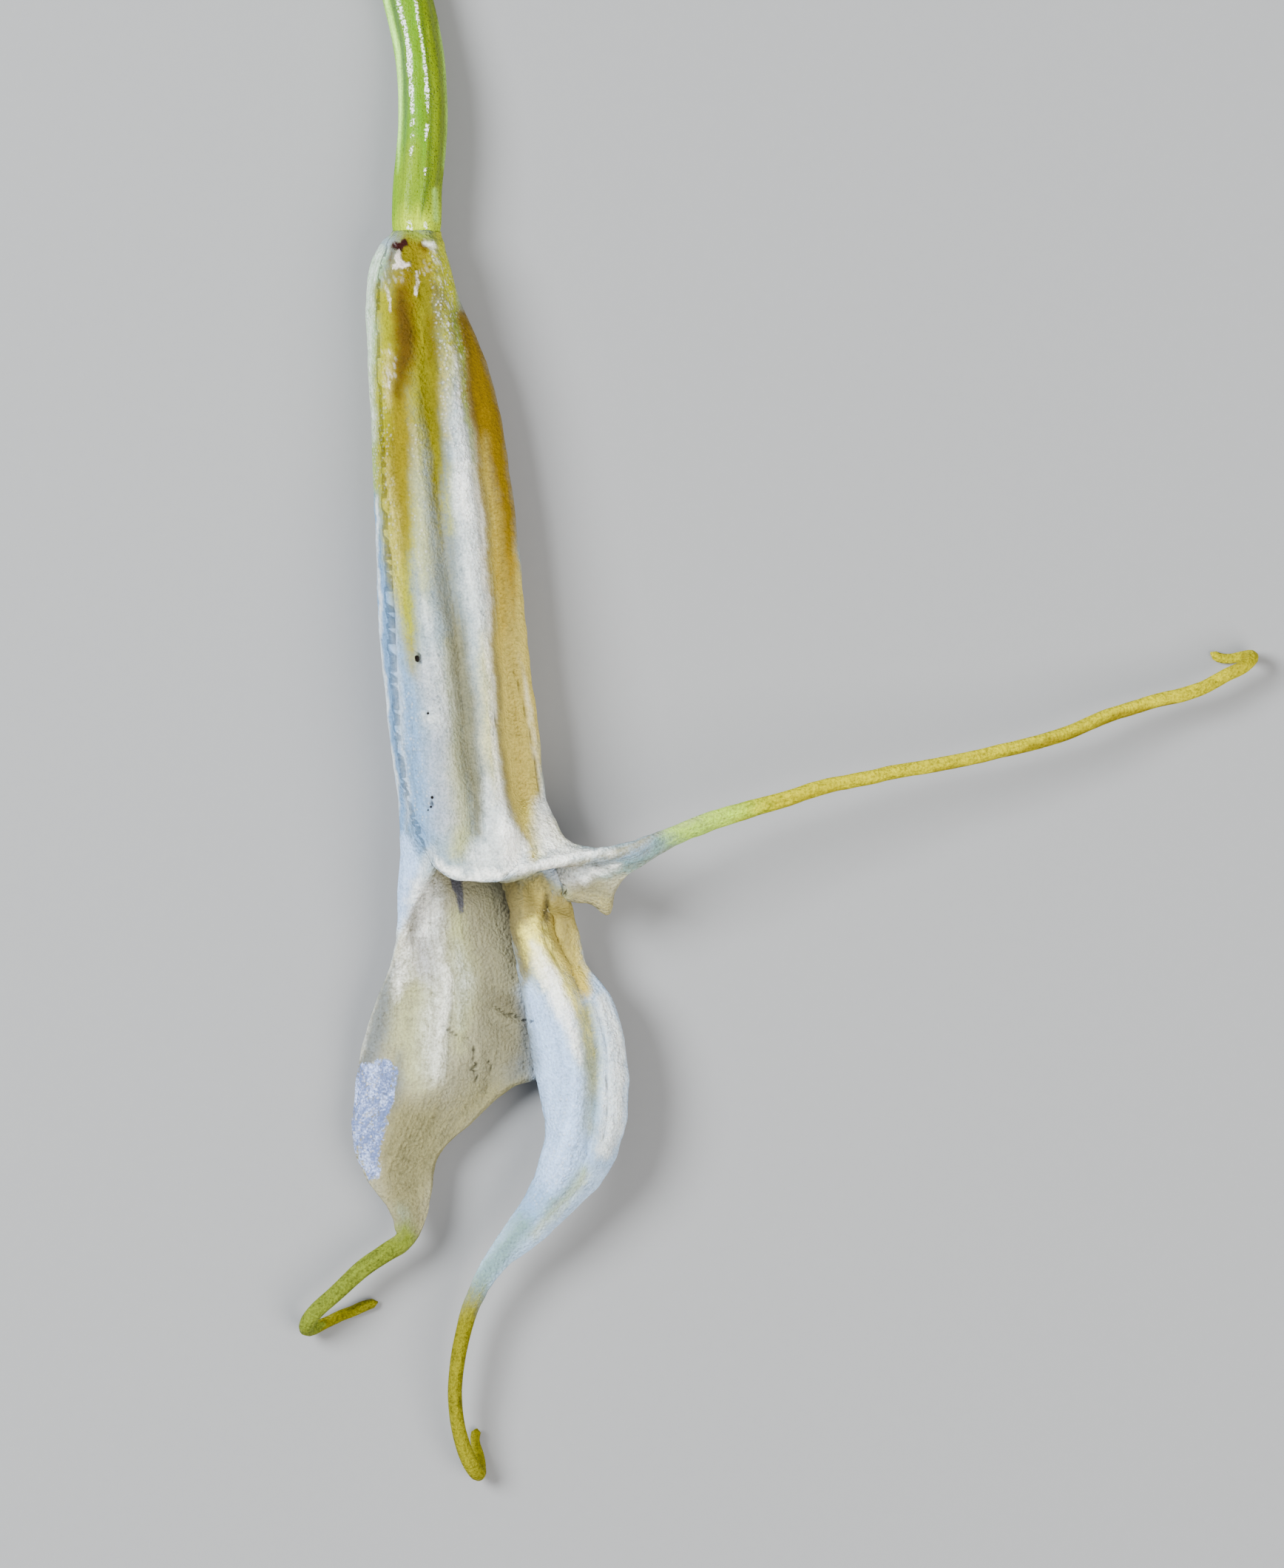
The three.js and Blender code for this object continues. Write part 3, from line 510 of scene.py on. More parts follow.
# A mark with a crack also has a line of painted shade of that strength
sheetMarks = {
    "paleBud": mark(0.14, 0.16, [-1.15, -0.5, 0.03], [-1, -0.8, 0.13], [-0.95, -1.15, 0.1]),
    "budFoot": mark(0.07, 0.1, [-1.15, -1.45, 0.07], [-0.85, -1.3, 0.08], [-0.5, -1.28, 0.09]),
    "maroonPit": mark(-0.12, 0.12, [-1, -0.3, 0.14], [-0.7, -0.42, 0.14]),
    "darkPit": mark(-0.08, 0.1, [0.25, -0.15, 0.08], [0.32, -0.3, 0.05]),
    "whiteDrop": mark(0.1, 0.1, [0.75, -0.1, 0.1], [0.85, -0.25, 0.08]),
    "leftVein": mark(0.06, 0.15, [-1.45, -2.1, 0.05], [-1.3, -3, 0.08], [-1.25, -4.5, 0.06],
        [-1.35, -6.5, 0.06]),
    "middleVein": mark(0.07, 0.12, [-0.15, -1.7, 0.04], [-0.02, -2.3, 0.08], [-0.05, -2.9, 0.03]),
    "innerVein": mark(0.05, 0.15, [0.4, -3.6, 0.03], [0.28, -4.4, 0.06], [0.1, -6, 0.05], [-0.05, -8, 0.05],
        [-0.1, -10, 0.03]),
    "seamVein": mark(0.07, 0.14, [1.2, -0.6, 0.03], [1.55, -1.9, 0.07], [1.85, -3, 0.08], [2.2, -6, 0.07],
        [2.55, -9.2, 0.05], [2.85, -11.5, 0.03]),
    "bumpLeft": mark(0.1, 0.12, [0.35, -23.2, 0.12], [0.5, -23.3, 0.1]),
    "bumpRight": mark(0.08, 0.12, [1.1, -22.95, 0.12], [1.2, -23.25, 0.1]),
    "bumpLow": mark(0.06, 0.1, [0.35, -27.3, 0.06], [0.5, -27.25, 0.08]),
    "rimRoll": mark(0.12, 0.3, [0.95, -30, 0.03], [1.7, -30.5, 0.1], [2.35, -30.75, 0.12], [3.8, -30.7, 0.12],
        [5.1, -30.25, 0.1], [6.8, -29.92, 0.08], [8.1, -29.68, 0.05], [9.5, -29.42, 0.03], over=4.8),
    "leftMarginLip": mark(0.07, 0.15, [0.85, -30.15, 0.05], [0.3, -31.1, 0.06], [-0.35, -32.3, 0.05],
        [-0.8, -33.2, 0.02], over=3.4),
    "leftSeam": mark(-0.14, 0.12, [-1.55, -14.4, 0.02], [-1.3, -15.8, 0.04], [-1.2, -18, 0.05],
        [-1.15, -20.8, 0.05], [-1.05, -22.5, 0.06], [-0.95, -24, 0.05], [-0.72, -25.6, 0.05],
        [-0.66, -27, 0.05], [-0.68, -28.4, 0.04], crack=0.6),
    "rightSeamFold": mark(-0.05, 0.45, [3.75, -8.5, 0.02], [3.9, -10, 0.05], [4.15, -12, 0.06],
        [4.3, -14, 0.06], [4.45, -16.5, 0.04], [4.6, -18.5, 0.03]),
    "rightCrack": mark(-0.16, 0.1, [4.6, -20.8, 0.02], [4.85, -21.4, 0.04], [5, -22, 0.05],
        [5.12, -22.6, 0.04], [5.4, -23.5, 0.03], [5.62, -24.6, 0.04], [5.75, -25.4, 0.05], [5.8, -26, 0.04],
        [5.95, -27, 0.03], crack=0.7),
    "slitRight": mark(-0.1, 0.08, [3.75, -22.7, 0.01], [3.8, -23.2, 0.03], [3.78, -23.9, 0.01], crack=0.8),
    "holeA": mark(-0.3, 0.08, [-0.02, -20.1, 0.1], [0.02, -20.3, 0.08], crack=1),
    "holeB": mark(-0.14, 0.08, [0.55, -22.8, 0.04], [0.5, -22.95, 0.07], crack=1),
    "holeC": mark(-0.14, 0.08, [0.72, -26.85, 0.06], [0.72, -27.05, 0.05], [0.62, -27.3, 0.04],
        [0.5, -27.45, 0.03], crack=1),
    "holeD": mark(-0.08, 0.08, [0.05, -28.2, 0.03], [0.08, -28.5, 0.03], crack=0.7),
    "holeE": mark(-0.1, 0.1, [0.3, -28.5, 0.03], [0.36, -29, 0.02], crack=0.6),
    "rimNick": mark(-0.06, 0.08, [1.55, -29.2, 0.03], [1.6, -29.5, 0.01], crack=0.3),
    "bladeFold": mark(-0.16, 0.14, [3.55, -36.95, 0.01], [3.95, -37.2, 0.05], [4.3, -37.45, 0.06],
        [4.55, -37.4, 0.04], [4.9, -37.6, 0.06], [5.4, -37.75, 0.05], crack=0.8),
    "foldUnder": mark(0.1, 0.25, [3.9, -37.45, 0.02], [4.4, -37.75, 0.06], [5.2, -38, 0.05]),
    "crestCrease": mark(-0.12, 0.1, [1.25, -37.95, 0.02], [1.45, -38.1, 0.04], [1.7, -38.3, 0.04],
        [1.95, -38.4, 0.02], crack=0.8),
    "crestSpot": mark(-0.08, 0.1, [1.5, -36.6, 0.05], [1.62, -36.9, 0.04], crack=0.4),
    "wrinkleA": mark(-0.14, 0.1, [2.2, -38.45, 0.01], [2.5, -38.6, 0.03], [2.65, -39, 0.04],
        [2.8, -39.3, 0.04], [2.7, -39.6, 0.04], [2.85, -39.9, 0.03], crack=0.9),
    "wrinkleB": mark(-0.12, 0.1, [2.5, -39.8, 0.02], [2.6, -40.1, 0.04], [2.85, -40.35, 0.04],
        [2.75, -40.6, 0.03], crack=0.9),
    "wrinkleC": mark(-0.12, 0.1, [3.3, -39.2, 0.02], [3.35, -39.6, 0.04], [3.55, -39.9, 0.03],
        [3.5, -40.3, 0.02], crack=0.8),
    "wrinkleD": mark(-0.1, 0.1, [3.25, -40.5, 0.02], [3.35, -40.85, 0.04], [3.25, -41.2, 0.02], crack=0.5),
    "pinkCrease": mark(-0.08, 0.1, [-0.28, -33.6, 0.02], [-0.22, -34.2, 0.03], [-0.15, -35, 0.02], crack=0.5),
    "mouthCrack": mark(-0.1, 0.2, [6.1, -31.5, 0.02], [6.25, -31.75, 0.05], [6.2, -32.2, 0.06],
        [6.05, -32.8, 0.06], [6.1, -33.2, 0.05], [6.2, -33.8, 0.04], [6.5, -34.4, 0.06], [6.75, -34.8, 0.05],
        [7, -35.2, 0.02], crack=0.6),
    "hollowSide": mark(-0.06, 0.25, [5.12, -31.4, 0.02], [5.18, -32, 0.03], [5.3, -32.6, 0.02]),
    "tanPits": mark(-0.05, 0.2, [7.3, -35.1, 0.02], [7.55, -34.95, 0.05], [7.85, -35.15, 0.05],
        [8.1, -35.5, 0.03]),
    "crestSide": mark(-0.08, 0.1, [7.62, -38, 0.02], [7.78, -38.7, 0.04], [7.85, -39.3, 0.03], crack=0.6),
    "valleyLine": mark(-0.08, 0.12, [8.2, -41.5, 0.02], [8.2, -42.6, 0.04], [8.15, -43.8, 0.03],
        [8.3, -44.4, 0.02], crack=0.45),
    "rollLine": mark(-0.14, 0.14, [8.5, -36.7, 0.02], [8.8, -37.6, 0.05], [9, -38.6, 0.04],
        [9.12, -39.6, 0.04], [9.05, -40.5, 0.07], [9.2, -41.4, 0.04], [9.05, -42.4, 0.04],
        [8.95, -43.4, 0.03], crack=0.6),
    "lowVein": mark(0.05, 0.25, [6.3, -43.5, 0.02], [5.9, -45.2, 0.05], [5, -46.9, 0.05], [4, -48.4, 0.03]),
}


# Moves the sheets before they get their thickness, so both faces of a wall follow
def shapeSheets(piece):
    points = vertexPlaces(piece)
    which = readNumbers(piece, "which")
    xy = points[:, :2].copy()
    lift = np.zeros(len(points))
    for step in sheetSteps.values():
        distance, side, t = lineDistance(xy, step["line"])
        first, last = step["ends"]
        share = smoothStep(0, first, t) * smoothStep(1, 1 - last, t)
        share *= np.abs(which - step["sepal"]) < 0.5
        share *= smoothStep(step["over"] - 1, step["over"], points[:, 2])
        rise = step["rise"] * (side < 0) * np.exp(-(distance / step["riseReach"]) ** 2)
        rise += step["rise"] * (side > 0) * np.exp(-(distance / stepRound) ** 2)
        start = step.get("dropStart", 2 * stepRound)
        drop = step["drop"] * (side * step.get("dropSide", 1) > 0) * smoothStep(0, start, distance)
        drop *= np.exp(-(np.maximum(distance - start, 0) / step["dropReach"]) ** 2)
        lift += share * (rise - drop)
    points[:, 2] += lift
    placeVertices(piece, points)


crackReach = 0.12              # how far a crack's shade goes past its line
crackMost = 1.6


# Lumps and cuts, only in the faces that look up, and the painted shade along the cracks
def shapeFaces(piece):
    points = vertexPlaces(piece)
    normals = readNormals(piece)
    xy = points[:, :2].copy()
    up = smoothStep(0.05, 0.4, normals[:, 2])
    height = np.zeros(len(points))
    crack = np.zeros(len(points))
    for part in sheetMarks.values():
        outside = strokeDistance(xy, part["line"])
        share = (1 - smoothStep(0, part["soft"], outside)) * up
        share = share * (points[:, 2] > part.get("over", leastLevel))
        height += share * part["height"]
        if "crack" in part:
            dark = np.clip(1 - outside / crackReach, 0, crackMost) * up * part["crack"]
            crack = np.maximum(crack, dark)
    points += normals * height[:, None]
    placeVertices(piece, points)
    writeNumbers(piece, "crack", crack)


def softWaves(piece, length, height, group=""):
    texture = bpy.data.textures.new("soft waves", "CLOUDS")
    texture.noise_scale = length * 0.001
    texture.noise_depth = 2
    waves = piece.modifiers.new("waves", "DISPLACE")
    waves.texture = texture
    waves.texture_coords = "LOCAL"
    waves.mid_level = 0.5
    waves.strength = height * 0.001
    waves.vertex_group = group
    applyModifiers(piece)


# Where each tail turns to its own colour, in control rows from its start
tailTurns = {"dorsal": (0.0, 3.4), "right": (-0.6, 1.2), "left": (-0.5, 1.0)}
tailCalm = 0.85                # how much less the fine waves move the tails


def buildSepals():
    grids = sepalGrids()
    pieces = []
    for k, (name, grid) in enumerate(grids.items()):
        rows, columns = grid["points"].shape[:2]
        past = np.repeat((grid["places"] - grid["tailStart"])[:, None], columns, 1)
        numbers = {
            "half": grid["half"],
            "along": np.repeat(grid["places"][:, None], columns, 1),
            "which": np.full((rows, columns), float(k)),
            "tail": smoothStep(*tailTurns[name], past),
            "across": grid["across"] * 0.001,
            "lengthwise": np.repeat(grid["lengths"][:, None], columns, 1) * 0.001,
        }
        pieces.append(gridPiece(name, grid["points"], numbers))
    sepals = joined(pieces, "sepals")
    shapeSheets(sepals)
    start = tubeForm["sharedRows"]
    fillGroup(sepals, "limb", smoothStep(start - 0.5, start + 1.5, readNumbers(sepals, "along")))
    for length, height in tubeForm["limbWaves"]:
        softWaves(sepals, length, height, "limb")
    half = readNumbers(sepals, "half").astype(float)
    widest = float(half.max())
    fillGroup(sepals, "thickness", half / widest)
    solidify = sepals.modifiers.new("wall", "SOLIDIFY")
    solidify.thickness = 2 * widest * 0.001
    solidify.offset = 0
    solidify.vertex_group = "thickness"
    solidify.use_rim = True
    applyModifiers(sepals)
    # Solidify puts the vertices of its new shell behind the old ones
    total = len(sepals.data.vertices)
    writeNumbers(sepals, "inner", np.arange(total) < total // 2)
    bpy.ops.object.shade_smooth()
    fillGroup(sepals, "body", 1 - tailCalm * readNumbers(sepals, "tail").astype(float))
    for length, height in tubeForm["bodyWaves"]:
        softWaves(sepals, length, height, "body")
    shapeFaces(sepals)
    return sepals


sepals = buildSepals()
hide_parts("sepal_tube")
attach(sepals, "root")
print("sepals:", len(sepals.data.polygons), "faces")

stemForm = {
    # x, y, z of the middle line, from inside the tube's end to the cut
    "line": [[-0.1, 0.05, 2.3], [-0.1, 0.75, 2.35], [-0.06, 2.4, 2.3], [0.08, 4.0, 2.22], [0.2, 5.6, 2.1],
             [0.2, 7.2, 1.95], [0.04, 9.0, 1.75], [-0.3, 10.8, 1.55], [-0.78, 12.6, 1.4],
             [-1.35, 14.6, 1.27], [-1.95, 16.6, 1.2]],
    "radius": 1.2,
    "rootRadius": 1.1,         # where it grows into the tube
    "ribs": 6,
    "ribHeight": 0.1,          # of the radius
    "ribTurn": 22,             # degrees of the first rib to the left of the top
    "ribWander": 3,
    "sides": 90,
    "spacing": 0.2,
    "cutRim": 0.09,
    "cutDepth": 0.05,
    "pithRim": 0.4,
    "pithRise": 0.02,
    "rimAngle": 50,            # degrees past which an edge stays sharp
    "waves": [2.4, 0.1],
}


# A circle extruded along the middle line, with the ribs drawn out of it
def buildStem():
    form = stemForm
    line = np.array(form["line"])
    length = np.linalg.norm(np.diff(line, axis=0), axis=1).sum()
    places = np.linspace(0, len(line) - 1, math.ceil(length / form["spacing"]))
    centres = throughPoints(line, places)
    tangents = directions(line, places)
    tangents /= np.linalg.norm(tangents, axis=1, keepdims=True)
    deselectAll()
    bpy.ops.mesh.primitive_circle_add(vertices=form["sides"], radius=form["radius"] * 0.001,
                                      location=metres(centres[0]))
    bpy.ops.object.transform_apply(location=True, rotation=False, scale=False)
    stem = bpy.context.object
    stem.name = "stem"
    bpy.ops.object.mode_set(mode="EDIT")
    for step in np.diff(centres, axis=0) * 0.001:
        bpy.ops.mesh.extrude_region_move(TRANSFORM_OT_translate={"value": step})
    bpy.ops.object.mode_set(mode="OBJECT")
    angle = np.tile(np.arange(form["sides"]) * 2 * math.pi / form["sides"], len(centres))
    ring = np.repeat(np.arange(len(centres)), form["sides"])
    along = tangents[ring]
    side = np.array([1.0, 0, 0]) - along * along[:, :1]
    side /= np.linalg.norm(side, axis=1, keepdims=True)
    up = np.cross(side, along)
    wander = np.radians(form["ribTurn"] + form["ribWander"] * np.sin(places[ring] * 1.3))
    crest = 0.5 + 0.5 * np.cos(form["ribs"] * (angle - math.pi / 2 - wander))
    radius = form["radius"] * (1 - form["ribHeight"] * (1 - crest ** 0.8))
    radius *= 1 - (1 - form["rootRadius"] / form["radius"]) * smoothStep(1.2, 0, places[ring])
    points = centres[ring] + radius[:, None] * (side * np.cos(angle)[:, None] + up * np.sin(angle)[:, None])
    points[:, 2] = np.maximum(points[:, 2], 0)
    placeVertices(stem, points)
    for first in (0, len(points) - form["sides"]):
        pick(stem)
        chosen = np.zeros(len(stem.data.vertices), bool)
        chosen[first:first + form["sides"]] = True
        selectVertices(stem, chosen)
        bpy.ops.mesh.edge_face_add()
        if first:              # the cut end
            bpy.ops.mesh.inset(thickness=form["cutRim"] * 0.001, depth=-form["cutDepth"] * 0.001)
            bpy.ops.mesh.inset(thickness=form["pithRim"] * 0.001, depth=form["pithRise"] * 0.001)
        bpy.ops.object.mode_set(mode="OBJECT")
    bpy.ops.object.mode_set(mode="EDIT")
    bpy.ops.mesh.select_all(action="SELECT")
    bpy.ops.mesh.normals_make_consistent(inside=False)
    bpy.ops.object.mode_set(mode="OBJECT")
    bpy.ops.object.shade_smooth()
    bpy.ops.object.shade_smooth_by_angle(angle=math.radians(form["rimAngle"]))
    softWaves(stem, *form["waves"])
    return stem


stem = buildStem()
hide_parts("stem_ovary")
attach(stem, "root")
print("stem:", len(stem.data.polygons), "faces")


# How far a stroke of paint fades out, how strong it is, and x, y and half of the width along it. It may
# keep to faces over or below a height, to one sepal, or fade in at the top between two values of y.
def stroke(fade, amount, *line, **limits):
    return {"fade": fade, "amount": amount, "line": line, **limits}


# Where each tone lies on the stem
stemPaint = {
    "olive": [
        stroke(0.12, 1, [0.55, 16.6, 1.2], [0.5, 11.6, 0.6], [0.85, 9.5, 0.5], [1.1, 7.5, 0.6],
               [1.15, 5, 0.65], [0.95, 3, 0.6], [0.8, 1.5, 0.55], [0.75, 0.6, 0.5]),
    ],
    # painted highlights: pale lines along the stem's sides
    "pale": [
        stroke(0.14, 0.9, [-3, 16.6, 0.05], [-2.4, 14.6, 0.05], [-1.6, 11.8, 0.05], [-1.3, 10.4, 0.06],
               [-1.02, 9.3, 0.05], [-0.92, 7.8, 0.05], [-0.9, 6.2, 0.05], [-0.95, 4.8, 0.02],
               [-1, 3.2, -0.1]),
        stroke(0.12, 0.35, [1, 10.6, 0.03], [1.28, 8.4, 0.05], [1.42, 6.8, 0.05], [1.4, 5, 0.05],
               [1.25, 3.6, 0.05]),
        stroke(0.15, 0.5, [0.8, 2.4, 0.03], [0.85, 1, 0.05]),
    ],
    "lime": [
        stroke(0.5, 0.9, [-0.3, 4.4, 0.2], [-0.35, 3, 0.55], [-0.4, 1.8, 0.55], [-0.4, 0.8, 0.5]),
        stroke(0.5, 0.6, [0.75, 0.8, 0.2], [0.7, 0.3, 0.3]),
    ],
    "grey": [
        stroke(0.16, 0.85, [-2.75, 16.6, 0.05], [-2.1, 14.6, 0.05], [-1.3, 11.8, 0.05], [-1.02, 10.6, 0.06],
               [-0.8, 9.5, 0.06], [-0.68, 8, 0.06], [-0.62, 6.4, 0.04], [-0.66, 4.8, -0.02],
               [-0.7, 3.2, -0.15]),
    ],
    # painted shade in the valley between two ribs
    "groove": [
        stroke(0.14, 0.9, [-0.6, 14.4, -0.05], [0.05, 11.8, 0.03], [0.28, 10, 0.04], [0.44, 8.8, 0.04],
               [0.57, 7.4, 0.04], [0.61, 6, 0.03], [0.56, 4.5, 0.04], [0.48, 3, 0.05], [0.2, 1.5, 0.03],
               [0.1, 0.9, -0.05]),
    ],
    "bright": [
        stroke(0.45, 0.6, [-0.75, 1.6, -0.1], [-0.7, 0.7, 0.25], [-0.65, 0.4, 0.3]),
        stroke(0.5, 0.95, [0, 1.5, -0.1], [0, 0.8, 0.3], [0, 0.4, 0.35]),
        stroke(0.4, 0.7, [0.9, 2.6, -0.2], [0.85, 1.5, 0.1], [0.75, 0.6, 0.25]),
    ],
    # painted highlights along the rib crests
    "shine": [
        stroke(0.12, 1, [-1.9, 14.8, -0.1], [-1.3, 12.8, 0.04], [-1.05, 11.8, 0.04], [-0.85, 11, 0.08],
               [-0.58, 10, 0.04], [-0.45, 9.2, 0.08], [-0.42, 8.3, 0.1], [-0.37, 7.7, 0.03],
               [-0.35, 7.3, 0.08], [-0.3, 6.7, 0.02], [-0.29, 6.4, 0.07], [-0.28, 6.1, 0.02]),
        stroke(0.1, 0.9, [-0.28, 5.75, 0.07], [-0.3, 5.6, 0.06]),
        stroke(0.1, 0.8, [-0.3, 5.1, 0.05], [-0.3, 4.95, 0.04]),
        stroke(0.1, 0.8, [-0.3, 4.5, 0.03], [-0.38, 4.15, 0.06]),
        stroke(0.1, 0.95, [-0.95, 14.4, -0.1], [-0.42, 12.8, 0.03], [-0.15, 11.8, 0.04], [-0.02, 10.6, 0.02],
               [0.15, 9.7, 0.04], [0.28, 8.8, 0.02], [0.38, 7.9, 0.05], [0.42, 7.2, 0.08], [0.44, 6.6, 0.05],
               [0.43, 6.1, 0.01]),
        stroke(0.1, 0.95, [0.42, 5.5, 0.07], [0.38, 5.1, 0.04], [0.36, 4.7, 0.02]),
        stroke(0.1, 0.8, [0.36, 3.5, 0.04], [0.28, 3.1, 0.03]),
        stroke(0.12, 0.9, [-0.4, 0.5, 0.08], [-0.42, 0.75, 0.1]),
        stroke(0.12, 0.7, [0.35, 0.75, 0.06], [0.38, 0.6, 0.06]),
    ],
}

